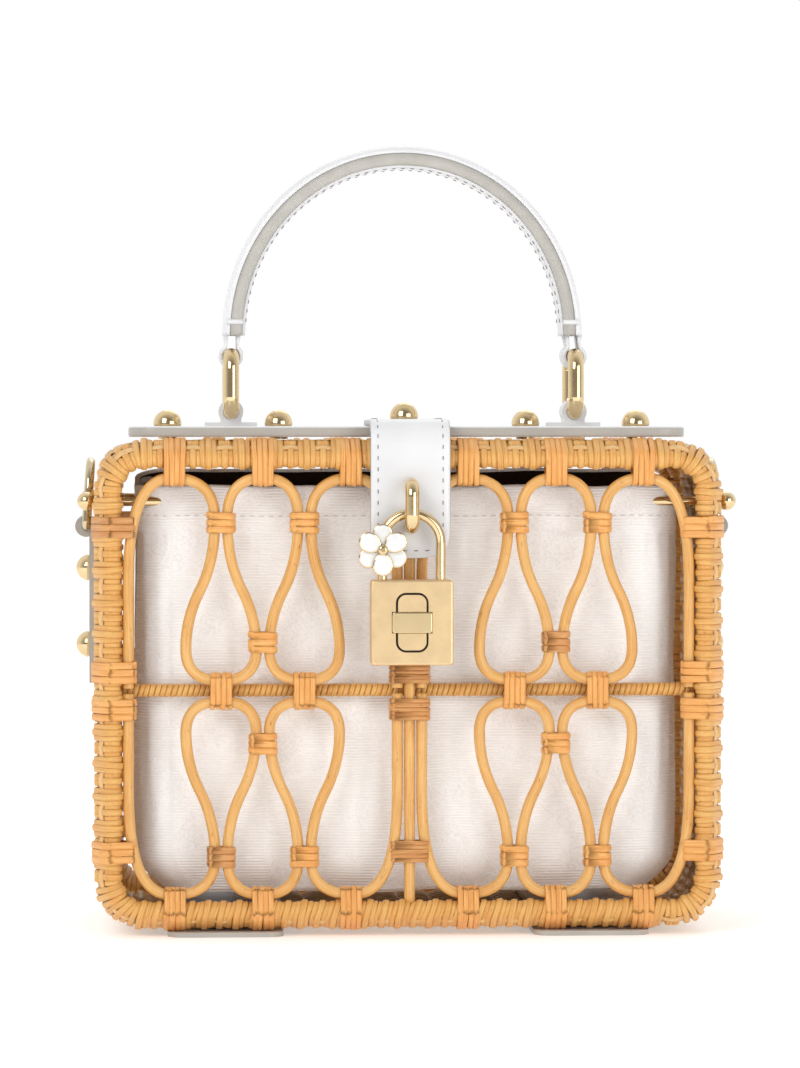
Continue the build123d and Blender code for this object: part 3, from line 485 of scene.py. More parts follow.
def quarter_path(side, tier):
    """Control polygon of one cane in the lattice's plane."""
    end_z = bar_z + tier * cane_r / 2
    edge_z = arch_z if tier > 0 else sill_z
    foot_z = bar_z + tier * drop_foot
    belly_z = foot_z + tier * drop_belly
    neck_z = belly_z + tier * drop_neck
    spots = [(side_x, end_z), (side_x, edge_z)]
    for middle in lattice_drops:
        neck_out, neck_in = middle + strand_half, middle - strand_half
        belly_out, belly_in = middle + drop_half, middle - drop_half
        spots += [(neck_out, edge_z), (neck_out, neck_z), (belly_out, belly_z), (belly_out, foot_z)]
        spots += [(belly_in, foot_z), (belly_in, belly_z), (neck_in, neck_z), (neck_in, edge_z)]
    spots += [(post_x, edge_z), (post_x, end_z)]
    return [(side * x, z) for x, z in spots]


bent_cane = cane_finish("bent_cane", (0.80, 0.47, 0.155), (0.62, 0.31, 0.08), (0.90, 0.74, 0.54))
for face, face_name in ((1, "front"), (-1, "back")):
    row_y = on_face(face, lattice_y)
    for tier, tier_name in ((1, "upper"), (-1, "lower")):
        for side, side_name in ((-1, "left"), (1, "right")):
            flat = eased(quarter_path(side, tier))
            sway = [0.25 * noise.noise((x * 0.03, z * 0.03, face * 7 + tier * 3)) for x, z in flat]
            path = [(x, row_y + s, z) for (x, z), s in zip(flat, sway)]
            node = f"{face_name}_loop_{tier_name}_{side_name}"
            cane = rod(path, cane_r, sides=14, uneven=0.07)
            piece(f"{node}_cane", cane, bent_cane, "basket", [node])
    post_y = on_face(face, (post_box[0][1] + post_box[1][1]) / 2)
    post_r = (post_box[1][1] - post_box[0][1]) / 2
    path = [(0, post_y, z) for z in np.linspace(post_box[0][2], post_box[1][2], 60)]
    piece(f"{face_name}_post_cane", rod(path, post_r, sides=14, uneven=0.05), bent_cane, "basket",
          [f"{face_name}_centre_post"])
for node in ("front_inner_rod", "back_inner_rod", "front_outer_rod", "back_outer_rod"):
    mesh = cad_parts[node].data
    mesh.materials.clear()
    mesh.materials.append(bent_cane)

# ---------------------------------------------------------------- middle bars
# One straight cane on each face, from rim to rim behind the lattice. It is closely wound
# from end to end with narrow split cane, a little aslant.
bar_y = (bar_box[0][1] + bar_box[1][1]) / 2
bar_r = (bar_box[1][2] - bar_box[0][2]) / 2
bar_pitch, bar_strip_width, bar_strip_thickness = 1.72, 1.66, 0.5
bar_core = [(0, 0, bar_r - 0.55)]
for face, face_name in ((1, "front"), (-1, "back")):
    row_y = on_face(face, bar_y)
    turns = []
    for turn_index in range(int((bar_box[1][0] - bar_box[0][0]) / bar_pitch)):
        place = bar_box[0][0] + (turn_index + 0.5) * bar_pitch + rng.uniform(-0.08, 0.08)
        turns.append(strip_ring(bar_core, np.array((place, row_y, bar_z)), Y * face, Z, X, bar_strip_width,
                                bar_strip_thickness, steps=16, slant=0.55, lift=rng.uniform(0.0, 0.06)))
    inner = [(x, row_y, bar_z) for x in np.linspace(bar_box[0][0], bar_box[1][0], 30)]
    turns.append(rod(inner, bar_r - 0.5))
    piece(f"{face_name}_bar_winding", joined(turns), weave_cane, "basket",
          [f"{face_name}_mid_bar"])

# ---------------------------------------------------------------- ties
# Every crossing is bound with a few close turns of dyed flat cane, a little darker and
# more orange than the rods, with the end tucked under the last turn.
tie_cane = cane_finish("tie_cane", (0.84, 0.44, 0.13), (0.68, 0.29, 0.065), (0.92, 0.74, 0.52))
brown_cane = cane_finish("brown_cane", (0.68, 0.34, 0.11), (0.48, 0.20, 0.055), (0.88, 0.70, 0.50))


def islands(node):
    """The separate solids of a CAD node, as arrays of points in millimetres."""
    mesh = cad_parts[node].data
    spots = np.array([v.co for v in mesh.vertices]) / MM
    _, shared = np.unique(np.round(spots, 4), axis=0, return_inverse=True)
    shared = shared.ravel()
    edges = shared[np.array([e.vertices[:] for e in mesh.edges])]
    group = np.arange(shared.max() + 1)
    while True:
        low = np.minimum(group[edges[:, 0]], group[edges[:, 1]])
        before = group.copy()
        np.minimum.at(group, edges[:, 0], low)
        np.minimum.at(group, edges[:, 1], low)
        group = group[group]
        if (group == before).all():
            break
    found = group[shared]
    return [spots[found == g] for g in np.unique(found)]


tie_thickness, tie_overlap = 0.72, 0.08
side_ties_from, top_ties_from, bottom_ties_to = 80, 138, 15
near_post, near_bar = 10, 3


def tie_turns(solid):
    """The turns of flat cane that make one tie, found from its place and size."""
    low, high = solid.min(0), solid.max(0)
    middle = (low + high) / 2
    on_side = abs(middle[0]) > side_ties_from
    on_post = abs(middle[0]) < near_post
    on_rail = (middle[2] > top_ties_from or middle[2] < bottom_ties_to) and not on_side
    on_bar = abs(middle[2] - bar_z) < near_bar and not on_post and not on_side
    upright = not (on_rail or on_bar)
    along, across, outward = (Z, Y, X) if upright else (X, Y, Z)
    count = 3 if upright else 4
    if on_post:
        count = 5
    width = (high - low).dot(along) / count
    flat = {(round(p.dot(across), 1), round(p.dot(outward), 1)) for p in solid - middle}
    hull = [(a, o, -tie_thickness) for a, o in flat]
    turns = []
    for strip in range(count):
        origin = middle + along * (strip - (count - 1) / 2) * width
        turns.append(strip_ring(hull, origin, across, outward, along, width + tie_overlap, tie_thickness,
                                steps=28, slant=rng.uniform(-0.25, 0.25), lift=rng.uniform(-0.12, 0.06)))
    return turns


for node in ("front_rim_ties", "front_strand_ties", "front_bar_ties", "back_ties"):
    plain, brown = [], []
    for solid in islands(node):
        middle = (solid.min(0) + solid.max(0)) / 2
        darker = abs(middle[0]) < near_post or rng.random() < 0.12
        (brown if darker else plain).extend(tie_turns(solid))
    piece(f"{node}_turns", joined(plain), tie_cane, "basket", [node])
    if brown:
        piece(f"{node}_brown_turns", joined(brown), brown_cane, "basket", ())

# ---------------------------------------------------------------- woven walls and floor
# The sides and the floor are plain basketwork: flat cane woven in rows over and under
# round stakes, turning in at the bottom and top edges of the sides.
wall_cane = cane_finish("wall_cane", (0.76, 0.50, 0.225), (0.55, 0.31, 0.11), (0.88, 0.74, 0.56))


def profile_path(spots, corner):
    """Chain of runs with rounded corners, as even points with a distance along it."""
    spots = [np.array(s, dtype=float) for s in spots]
    line = [spots[0]]
    for before, at, after in zip(spots, spots[1:], spots[2:]):
        into = (at - before) / np.linalg.norm(at - before)
        out = (after - at) / np.linalg.norm(after - at)
        for share in np.linspace(0, 1, 8):
            a, b = at - into * corner, at + out * corner
            line.append((1 - share) ** 2 * a + 2 * share * (1 - share) * at + share ** 2 * b)
    line.append(spots[-1])
    line = np.array(line)
    run = np.concatenate(([0], np.cumsum(np.linalg.norm(np.diff(line, axis=0), axis=1))))
    return line, run


def basketwork(line, run, row_way, row_span, thickness, row_width=3.2, stake_pitch=9.0):
    """Rows of flat cane along row_way, one above another along the line, over stakes that follow it.

    row_span is the rows' two ends along row_way.
    """
    total = run[-1]
    row_count = max(2, round(total / row_width))
    stake_count = max(2, round((row_span[1] - row_span[0]) / stake_pitch))
    pitch = (row_span[1] - row_span[0]) / stake_count
    stake_r = thickness * 0.26
    parts = []

    def spot_at(distance):
        place = np.array([np.interp(distance, run, line[:, i]) for i in range(3)])
        ahead = np.array([np.interp(min(distance + 0.4, total), run, line[:, i]) for i in range(3)])
        behind = np.array([np.interp(max(distance - 0.4, 0), run, line[:, i]) for i in range(3)])
        way = (ahead - behind) / np.linalg.norm(ahead - behind)
        return place, way, np.cross(row_way, way)

    for stake in range(stake_count):
        place = row_span[0] + (stake + 0.5) * pitch
        stake_line = [spot_at(d)[0] + row_way * place for d in np.linspace(0.3, total - 0.3, 46)]
        parts.append(rod(stake_line, stake_r, sides=8))
    profile = [(-0.5, -0.25), (-0.4, 0.3), (0.0, 0.42), (0.4, 0.3), (0.5, -0.25), (0.0, -0.35)]
    swing = thickness / 2 - max(height for _, height in profile)
    for row in range(row_count):
        base, way, out = spot_at((row + 0.5) * total / row_count)
        tint = rng.random()
        wander = rng.uniform(-0.15, 0.15)
        width = total / row_count * rng.uniform(0.94, 1.06)
        count = stake_count * 7 + 1
        points, grain = [], []
        for step in range(count):
            along = row_span[0] + (row_span[1] - row_span[0]) * step / (count - 1)
            phase = math.pi * ((along - row_span[0]) / pitch - 0.5) + math.pi * row
            level = swing * math.copysign(abs(math.cos(phase)) ** 0.7, math.cos(phase))
            spot = base + row_way * along + way * (wander * math.sin(along * 0.21 + row))
            for side, height in profile:
                points.append(spot + way * side * width + out * (level + height * 0.9))
                grain.append((along, side * width, tint))
        parts.append((points, skin(count, len(profile), flip=True), grain))
    return joined(parts)


wall_thickness, wall_turn_r, weave_margin = 3.4, 10.5, 0.2
for side, side_name in ((-1, "left"), (1, "right")):
    low, high = corners(f"side_weave_{side_name}")
    face_x = (low[0] if side < 0 else high[0]) - side * wall_thickness / 2
    turn_x = high[0] if side < 0 else low[0]
    foot_z, head_z = low[2] + wall_thickness / 2, high[2] - wall_thickness / 2
    spots = [(turn_x, 0, foot_z), (face_x, 0, foot_z), (face_x, 0, head_z), (turn_x, 0, head_z)]
    line, run = profile_path(spots[::-1] if side < 0 else spots, wall_turn_r)
    wall_rows = basketwork(line, run, Y, (low[1] + weave_margin, high[1] - weave_margin), wall_thickness)
    piece(f"side_{side_name}_basketwork", wall_rows, wall_cane, "basket",
          [f"side_weave_{side_name}"])
low, high = corners("floor_weave")
floor_z = (low[2] + high[2]) / 2
floor_line = [(0, y, floor_z) for y in (low[1] + weave_margin, basket_y, high[1] - weave_margin)]
line, run = profile_path(floor_line, 3.0)
floor_rows = basketwork(line, run, X, (low[0] + weave_margin, high[0] - weave_margin), wall_thickness,
                        stake_pitch=10.0)
piece("floor_basketwork", floor_rows, wall_cane, "basket", ["floor_weave"])
low, high = corners("side_edge_rods")
edge_r = (high[2] - low[2]) / 2
edge_pitch = 2.5
edge_turns = []
for side in (-1, 1):
    middle = np.array((side * (high[0] - edge_r), 0, low[2] + edge_r))
    edge_turns.append(rod([middle + Y * y for y in np.linspace(low[1], high[1], 24)], edge_r - 0.6, sides=10))
    for turn_index in range(int((high[1] - low[1]) / edge_pitch)):
        origin = middle + Y * (low[1] + (turn_index + 0.5) * edge_pitch)
        edge_turns.append(strip_ring([(0, 0, edge_r - 0.62)], origin, X, Z, Y, 2.4, 0.6, steps=14, slant=0.3))
piece("side_edge_windings", joined(edge_turns), weave_cane, "basket", ["side_edge_rods"])

# ---------------------------------------------------------------- pouch
# Cream cloth bag hung on two metal rods: ribbed cloth with woven flowers, gathered a
# little along its casing, sagging at the bottom, with a dark brown lining painted near black
# as painted shade for the shadowed inside of the pouch.
pouch_low, pouch_high = corners("pouch")
pouch_middle = (pouch_low + pouch_high) / 2
pouch_half = (pouch_high - pouch_low) / 2
casing_height, pouch_corner, cloth_inset = 10.0, 12.0, 0.35
foot_run, wall_run = 30, 128
rear_lift, fold_out, fold_in = 4.6, 0.9, -2.4
pouch_points, foot_rings, wall_rings = 420, 12, 84


def pouch_ring(distance, corner):
    """Point and outward way on the pouch's plan, at a share of the way round."""
    half_w, half_d = pouch_half[0] - cloth_inset, pouch_half[1] - cloth_inset
    straight_w, straight_d = 2 * (half_w - corner), 2 * (half_d - corner)
    arc = math.pi / 2 * corner
    left = (distance % 1.0) * (2 * (straight_w + straight_d) + 4 * arc)
    legs = [
        ((-half_w + corner, -half_d), (1, 0), straight_w),
        ((half_w, -half_d + corner), (0, 1), straight_d),
        ((half_w - corner, half_d), (-1, 0), straight_w),
        ((-half_w, half_d - corner), (0, -1), straight_d),
    ]
    for start, way, length in legs:
        out = np.array((way[1], -way[0]), dtype=float)
        if left <= length:
            return np.array(start) + np.array(way) * left, out
        left -= length
        if left <= arc:
            turn = left / corner
            pivot = np.array(start) + np.array(way) * length - out * corner
            out = out * math.cos(turn) + np.array(way) * math.sin(turn)
            return pivot + out * corner, out
        left -= arc
    return pouch_ring(0.0, corner)


def pouch_sheet(outer):
    """The cloth or, turned in over the casing, its lining."""
    around = pouch_points
    bottom, top = pouch_low[2] + 1.2, pouch_high[2] - 0.5
    casing_foot = top - casing_height
    points, grain = [], []
    ring_length = 2 * (2 * pouch_half[0] + 2 * pouch_half[1]) - 24
    lines = [("foot", i / foot_rings) for i in range(1, foot_rings + 1)]
    lines += [("wall", i / wall_rings) for i in range(1, wall_rings + 1)]
    if outer:
        lines += [("over", i / 5) for i in range(1, 6)]
    for form, share in lines:
        for k in range(around):
            flat, out = pouch_ring(k / around, pouch_corner)
            along = k / around * ring_length
            sag = 1.6 * noise.noise((flat[0] * 0.03, flat[1] * 0.02, 3.0))
            if form == "foot":
                height = bottom + sag * share
                spot = flat * (0.04 + 0.85 * share)
                run_up = share * foot_run
                amount = 0.3
            else:
                rise = share if form == "wall" else 1.0
                foot_curve = min(1.0, rise * 9)
                pull_in = 0.11 * (1 - math.sin(foot_curve * math.pi / 2)) ** 1.3
                height = bottom + sag * (1 - rise) ** 2 + (top - bottom) * rise
                spot = flat * (1 - pull_in)
                run_up = foot_run + rise * wall_run
                amount = min(1.0, rise * 4)
            soft = noise.noise((along * 0.030, height * 0.010, 11.0))
            folds = noise.noise((along * 0.085, height * 0.014, 23.0))
            creases = noise.noise((along * 0.24, height * 0.035, 31.0))
            gathers = noise.noise((along * 0.42, 1.0, 41.0)) * max(0.0, 1 - abs(height - casing_foot) / 22)
            depth = amount * (1.3 * soft + 1.7 * folds + 0.75 * creases + 1.1 * gathers)
            hold = abs(out[1]) ** 4 * min(1.0, max(0.0, (height - top + casing_height + 2) / 3))
            stitch = math.exp(-((height - casing_foot) / 0.9) ** 2)
            depth -= 0.5 * stitch
            deepest = fold_in if height < casing_foot - 5 else 0.0
            depth = max(deepest, min(fold_out, depth - 0.5))
            if form != "foot":
                behind = min(1.0, max(0.0, flat[1] / pouch_half[1] * 2.2 - 1.1))
                wave = 0.5 * noise.noise((along * 0.05, 7.0, 1.0)) * rise ** 4
                spot = spot + out * depth
                height = height + rear_lift * behind * rise ** 8 + wave
            if form == "over":
                turn = share * math.pi
                spot = spot - out * (1.0 + 1.4 * hold) * (1 - math.cos(turn))
                height = height + 0.45 * math.sin(turn) - 6.0 * max(0.0, share - 0.5)
            if not outer:
                spot = spot - out * (1.6 + 3.4 * hold)
                height = height + (1.0 if form == "foot" else 1.0 - 1.6 * share)
            points.append(np.array((spot[0] + pouch_middle[0], spot[1] + pouch_middle[1], height)))
            grain.append((along, run_up, 0.5))
    faces = skin(len(lines), around)
    faces.append(tuple(range(around))[::-1])
    return points, faces, grain


cloth, shader, nodes, links = material("pouch_cloth_finish")
grain = nodes.new("ShaderNodeAttribute")
grain.attribute_name = "grain"
place = grain.outputs["Vector"]
ribs = nodes.new("ShaderNodeTexWave")
ribs.wave_type = "BANDS"
ribs.bands_direction = "Y"
ribs.inputs["Scale"].default_value = 0.34
ribs.inputs["Distortion"].default_value = 0.12
links.new(place, ribs.inputs["Vector"])
petals = nodes.new("ShaderNodeTexVoronoi")
petals.feature = "SMOOTH_F1"
petals.inputs["Scale"].default_value = 0.11
warp = nodes.new("ShaderNodeTexNoise")
warp.inputs["Scale"].default_value = 0.10
warp.inputs["Detail"].default_value = 3.0
links.new(place, warp.inputs["Vector"])
bent = nodes.new("ShaderNodeVectorMath")
bent.operation = "MULTIPLY_ADD"
links.new(warp.outputs["Color"], bent.inputs[0])
bent.inputs[1].default_value = (14, 14, 0)
links.new(place, bent.inputs[2])
links.new(bent.outputs[0], petals.inputs["Vector"])
figures = ramp(nodes, links, petals.outputs["Distance"], [(0.36, (1, 1, 1)), (0.48, (0, 0, 0))])
field = noise_node(nodes, links, place, 0.028, 2.0)
field_mask = ramp(nodes, links, field, [(0.40, (0, 0, 0)), (0.50, (1, 1, 1))])
jacquard = mixed(nodes, links, 1.0, figures, field_mask, "MULTIPLY")
mottle = noise_node(nodes, links, place, 1.3, 3.0, 0.7)
figure_relief = ramp(nodes, links, mottle, [(0.40, (0, 0, 0)), (0.60, (1, 1, 1))])
relief = mixed(nodes, links, jacquard, ribs.outputs["Color"], figure_relief)
base = ramp(nodes, links, mottle, [(0.25, (0.91, 0.90, 0.89)), (0.7, (0.975, 0.97, 0.965))])
# Low parts of the ribs and woven figures are tinted darker: painted shade in the cloth's hollows.
rib_groove_shade = ramp(nodes, links, relief, [(0.0, (0.91, 0.905, 0.90)), (0.5, (1, 1, 1))])
links.new(mixed(nodes, links, 0.75, base, rib_groove_shade, "MULTIPLY"), shader.inputs["Base Color"])
shader.inputs["Roughness"].default_value = 0.62
shader.inputs["Sheen Weight"].default_value = 0.25
bumped(nodes, links, shader, relief, 0.38, 0.0004)

# The lining's near-black brown is partly its own dark colour and partly painted shade for the shadowed inside
# of the pouch.
lining, shader, nodes, links = material("lining_painted_shade_finish")
grain = nodes.new("ShaderNodeAttribute")
grain.attribute_name = "grain"
weave = noise_node(nodes, links, stretched(nodes, links, grain.outputs["Vector"], (2.0, 2.0, 2.0)), 1.0, 2.0)
links.new(ramp(nodes, links, weave, [(0.3, (0.030, 0.014, 0.008)), (0.7, (0.060, 0.030, 0.018))]),
          shader.inputs["Base Color"])
shader.inputs["Roughness"].default_value = 0.7


def stitches(path, normal_of, pitch=3.4, length=1.5, width=0.34):
    """Short raised threads along a path; normal_of gives the outward way at a point's index."""
    path = np.array(path, dtype=float)
    run = np.concatenate(([0], np.cumsum(np.linalg.norm(np.diff(path, axis=0), axis=1))))
    parts = []
    count = int(run[-1] / pitch)
    for index in range(count):
        middle = (index + 0.5) * run[-1] / count
        spots = []
        for step in range(5):
            distance = middle + (step / 4 - 0.5) * length
            spot = np.array([np.interp(distance, run, path[:, i]) for i in range(3)])
            nearest = int(np.argmin(abs(run - distance)))
            spots.append(spot + normal_of(nearest) * (0.12 - 0.35 * (abs(step - 2) / 2) ** 2))
        parts.append(rod(spots, width / 2, sides=6))
    return joined(parts)


cloth_bag = piece("pouch_cloth", pouch_sheet(True), cloth, "basket", ["pouch"])
lining_bag = piece("pouch_lining", pouch_sheet(False), lining, "basket", ())


def thread_finish(name, dark, light):
    """Sewing thread, darker where it is twisted."""
    finish, shader, nodes, links = material(name)
    twist = nodes.new("ShaderNodeTexNoise")
    twist.inputs["Scale"].default_value = 900.0
    tone = ramp(nodes, links, twist.outputs["Fac"], [(0.3, dark), (0.7, light)])
    links.new(tone, shader.inputs["Base Color"])
    shader.inputs["Roughness"].default_value = 0.6
    return finish


pale_thread = thread_finish("pale_thread", (0.60, 0.58, 0.55), (0.80, 0.78, 0.75))
cloth_spots = np.array([v.co for v in cloth_bag.data.vertices]) / MM
seam_row = foot_rings + round(wall_rings * (1 - casing_height / (pouch_high[2] - pouch_low[2])))
seam_spots = cloth_spots[seam_row * pouch_points:(seam_row + 1) * pouch_points]
seam_out = [np.append(pouch_ring(k / pouch_points, pouch_corner)[1], 0.0) for k in range(pouch_points)]
casing_seam = stitches(seam_spots, lambda i: seam_out[i], pitch=2.9, length=1.8, width=0.36)
piece("casing_stitches", casing_seam, pale_thread, "basket", ())

# ---------------------------------------------------------------- lid frame and its basketwork
# A cane bent into a rounded frame and wound with flat cane, with a woven sheet inside it.
# Three bindings hold its rear side to the back rim and are its hinges.
rod_box = corners("lid_frame_rod")
lid_rod_r = (rod_box[1][2] - rod_box[0][2]) / 2
lid_z = (rod_box[1][2] + rod_box[0][2]) / 2
frame_half = (rod_box[1][0] - rod_box[0][0]) / 2 - lid_rod_r
frame_front, frame_back = rod_box[0][1] + lid_rod_r, rod_box[1][1] - lid_rod_r
frame_path, frame_run = profile_path(
    [(0, frame_front, lid_z), (frame_half, frame_front, lid_z), (frame_half, frame_back, lid_z),
     (-frame_half, frame_back, lid_z), (-frame_half, frame_front, lid_z), (0, frame_front, lid_z)], 7.0)
lid_turns = [rod(frame_path, lid_rod_r - 0.65, sides=10)]
hinge_middles = [(solid.min(0) + solid.max(0)) / 2 for solid in islands("hinge_ties")]
turn_pitch = 2.35
for turn_index in range(int(frame_run[-1] / turn_pitch)):
    distance = (turn_index + 0.5) * turn_pitch
    spot, ahead = (np.array([np.interp(d, frame_run, frame_path[:, i]) for i in range(3)])
                   for d in (distance, distance + 0.3))
    if spot[1] > frame_back - 1 and any(abs(spot[0] - m[0]) < 4.2 for m in hinge_middles):
        continue
    along = (ahead - spot) / np.linalg.norm(ahead - spot)
    hump = 0.10 * math.cos(turn_index * math.pi * 0.5)
    lid_turns.append(strip_ring([(0, 0, lid_rod_r - 0.72 + hump)], spot, np.cross(along, Z), Z, along,
                                turn_pitch + 0.05, 0.6, steps=14, slant=0.5))
piece("lid_frame_winding", joined(lid_turns), weave_cane, "lid", ["lid_frame_rod"])
low, high = corners("lid_weave")
rear_margin = 4.4
lid_line = [(0, y, lid_z) for y in (low[1] + weave_margin, (low[1] + high[1]) / 2, high[1] - rear_margin)]
line, run = profile_path(lid_line, 3.0)
lid_rows = basketwork(line, run, X, (low[0] + weave_margin, high[0] - weave_margin), high[2] - low[2],
                      stake_pitch=10.0)
piece("lid_basketwork", lid_rows, wall_cane, "lid", ["lid_weave"])

hinge_turns = []
for solid in islands("hinge_ties"):
    low, high = solid.min(0), solid.max(0)
    middle = (low + high) / 2
    flat = {(round(p[1], 1), round(p[2], 1)) for p in solid - middle}
    hull = [(a, o, -tie_thickness) for a, o in flat]
    width = (high[0] - low[0]) / 3
    for strip in range(3):
        hinge_turns.append(strip_ring(hull, middle + X * (strip - 1) * width, Y, Z, X, width + tie_overlap,
                                      tie_thickness, steps=28, slant=rng.uniform(-0.2, 0.2)))
piece("hinge_tie_turns", joined(hinge_turns), tie_cane, "basket", ["hinge_ties"])

# ---------------------------------------------------------------- white leather
# The lid's panel, the ring tabs, patches and side straps are smooth white leather with
# cut edges painted grey-beige. The panel's paint is on its upright edges.


def leather_finish(name, edge_axis=None, edge_limit=0.6):
    """White coated leather; faces that look along edge_axis (X, Y, Z or side) are painted edges."""
    finish, shader, nodes, links = material(name)
    place = nodes.new("ShaderNodeTexCoord").outputs["Object"]
    pores = noise_node(nodes, links, place, 1800.0, 3.0, 0.6)
    clouds = noise_node(nodes, links, place, 45.0, 2.0)
    white = ramp(nodes, links, clouds, [(0.3, (0.72, 0.72, 0.73)), (0.7, (0.78, 0.78, 0.79))])
    colour = white
    if edge_axis:
        parts = nodes.new("ShaderNodeSeparateXYZ")
        links.new(nodes.new("ShaderNodeTexCoord").outputs["Normal"], parts.inputs[0])
        size = nodes.new("ShaderNodeMath")
        size.operation = "ABSOLUTE"
        links.new(parts.outputs["Z" if edge_axis == "side" else edge_axis], size.inputs[0])
        test = nodes.new("ShaderNodeMath")
        test.operation = "LESS_THAN" if edge_axis == "side" else "GREATER_THAN"
        test.inputs[1].default_value = edge_limit
        links.new(size.outputs[0], test.inputs[0])
        paint = ramp(nodes, links, clouds, [(0.3, (0.38, 0.36, 0.325)), (0.7, (0.46, 0.435, 0.395))])
        colour = mixed(nodes, links, test.outputs[0], white, paint)
    links.new(colour, shader.inputs["Base Color"])
    shader.inputs["Roughness"].default_value = 0.38
    shader.inputs["Coat Weight"].default_value = 0.25
    shader.inputs["Coat Roughness"].default_value = 0.22
    bumped(nodes, links, shader, pores, 0.06, 0.00008)
    return finish


def dress(node, finish, bevel=0.0):
    """Gives a CAD node a finish and, where asked, softened edges."""
    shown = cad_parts[node]
    shown.data.materials.clear()
    shown.data.materials.append(finish)
    if bevel:
        soft = shown.modifiers.new("soft_edges", "BEVEL")
        soft.width = bevel * MM
        soft.segments = 3
        soft.limit_method = "ANGLE"
        soft.angle_limit = math.radians(40)


panel_leather = leather_finish("panel_leather", "side")
strap_leather = leather_finish("strap_leather", "X", 0.75)
plain_leather = leather_finish("plain_leather")
for node in ("base_patch_left", "base_patch_right", "inner_patches"):
    dress(node, panel_leather)
for node in ("handle_tab_left", "handle_tab_right"):
    dress(node, plain_leather)
for node in ("side_strap_left", "side_strap_right"):
    dress(node, leather_finish(f"{node}_leather", "Y", 0.75))


def slab(outline, levels):
    """Solid of stacked outlines: levels are (height, inset) from bottom to top."""
    outline = np.array(outline)
    ways = np.roll(outline, -1, axis=0) - np.roll(outline, 1, axis=0)
    normals = np.stack([ways[:, 1], -ways[:, 0]], axis=1)
    normals /= np.linalg.norm(normals, axis=1)[:, None]
    points = [np.array((x - normal[0] * inset, y - normal[1] * inset, height))
              for height, inset in levels for (x, y), normal in zip(outline, normals)]
    return points, skin(len(levels), len(outline), capped=True), []


def rounded_plan(low, high, corner, steps=12):
    """Outline of a rounded rectangle, anticlockwise, with points along its long sides."""
    spots = []
    for cx, cy, start in ((high[0] - corner, low[1] + corner, -90), (high[0] - corner, high[1] - corner, 0),
                          (low[0] + corner, high[1] - corner, 90), (low[0] + corner, low[1] + corner, 180)):
        for step in range(steps + 1):
            angle = math.radians(start + 90 * step / steps)
            spots.append((cx + corner * math.cos(angle), cy + corner * math.sin(angle)))
    dense = []
    for here, after in zip(spots, spots[1:] + spots[:1]):
        gap = math.dist(here, after)
        for step in range(max(1, int(gap / 3))):
            share = step / max(1, int(gap / 3))
            dense.append((here[0] + (after[0] - here[0]) * share, here[1] + (after[1] - here[1]) * share))
    return dense


low, high = corners("lid_panel")
panel_part = slab(rounded_plan(low, high, 9.0), [
    (low[2], 0.5), (low[2] + 0.2, 0.12), (low[2] + 0.6, 0.0), (high[2] - 0.75, 0.0),
    (high[2] - 0.3, 0.18), (high[2] - 0.08, 0.6), (high[2], 1.4), (high[2] + 0.05, 2.6)])
piece("lid_leather_panel", panel_part, panel_leather, "lid", ["lid_panel"])

# ---------------------------------------------------------------- closing strap
# One length of doubled leather, riveted and sewn on the lid and bending down over the
# front rim; the real strap hinges in the bend, but here it is one fixed piece tied to no body.
# A line of stitches runs just inside its edge.
strap_low, strap_high = corners("closure_strap")
flap_low = corners("closure_flap")[0]
strap_half = (strap_high[0] - strap_low[0]) / 2
strap_thickness = strap_high[2] - strap_low[2]
hang_y = flap_low[1] + strap_thickness / 2
run_z = strap_low[2] + strap_thickness / 2
strap_line, strap_run = profile_path(
    [(0, strap_high[1], run_z), (0, hang_y, run_z), (0, hang_y, flap_low[2])], 8.5)
strap_length = strap_run[-1]
points = []
strap_rows, across_steps, end_round = 150, 22, 8.0


def strap_spot(distance):
    """Place on the strap's middle line and its outward way, at a distance from its rear end."""
    spot, ahead, behind = (
        np.array([np.interp(min(max(d, 0), strap_length), strap_run, strap_line[:, i]) for i in range(3)])
        for d in (distance, distance + 0.3, distance - 0.3))
    way = (ahead - behind) / np.linalg.norm(ahead - behind)
    out = np.cross(way, X)
    return spot, out if out[2] - out[1] > 0 else -out


for row in range(strap_rows + 1):
    distance = strap_length * row / strap_rows
    spot, out = strap_spot(distance)
    left = strap_length - distance
    half = strap_half
    if left < end_round:
        half = strap_half - end_round + math.sqrt(max(0.0, end_round ** 2 - (end_round - left) ** 2))
    for side in (1, -1):
        for step in range(across_steps + 1):
            share = (step / across_steps * 2 - 1) * side
            edge = max(0.0, (abs(share) - 0.93) / 0.07)
            level = side * strap_thickness / 2 * (1 - 0.35 * edge ** 2)
            points.append(spot + X * share * half + out * level)
faces = skin(strap_rows + 1, 2 * (across_steps + 1), capped=True)
strap = piece("closing_strap", (points, faces, []), strap_leather, None, ["closure_strap", "closure_flap"])
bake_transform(strap)

seam = []
seam_ways = []
inset = 2.3
upto, turn_r = strap_length - end_round, end_round - inset
half_seam = [(d, strap_half - inset) for d in np.linspace(1.5, upto, 160)]
half_seam += [(upto + turn_r * math.sin(a), strap_half - end_round + turn_r * math.cos(a))
              for a in np.linspace(0, math.pi / 2, 24)[1:]]
end_span = np.linspace(strap_half - end_round, end_round - strap_half, 24)[1:-1]
whole = half_seam + [(upto + turn_r, x) for x in end_span]
whole += [(d, -x) for d, x in half_seam[::-1]]
for distance, x in whole:
    spot, out = strap_spot(distance)
    seam.append(spot + X * x + out * strap_thickness / 2)
    seam_ways.append(out)
dark_thread = thread_finish("dark_thread", (0.16, 0.15, 0.15), (0.30, 0.29, 0.28))
seam_piece = piece("closing_strap_stitches", stitches(seam, lambda i: seam_ways[i]), dark_thread, None, ())
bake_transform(seam_piece)

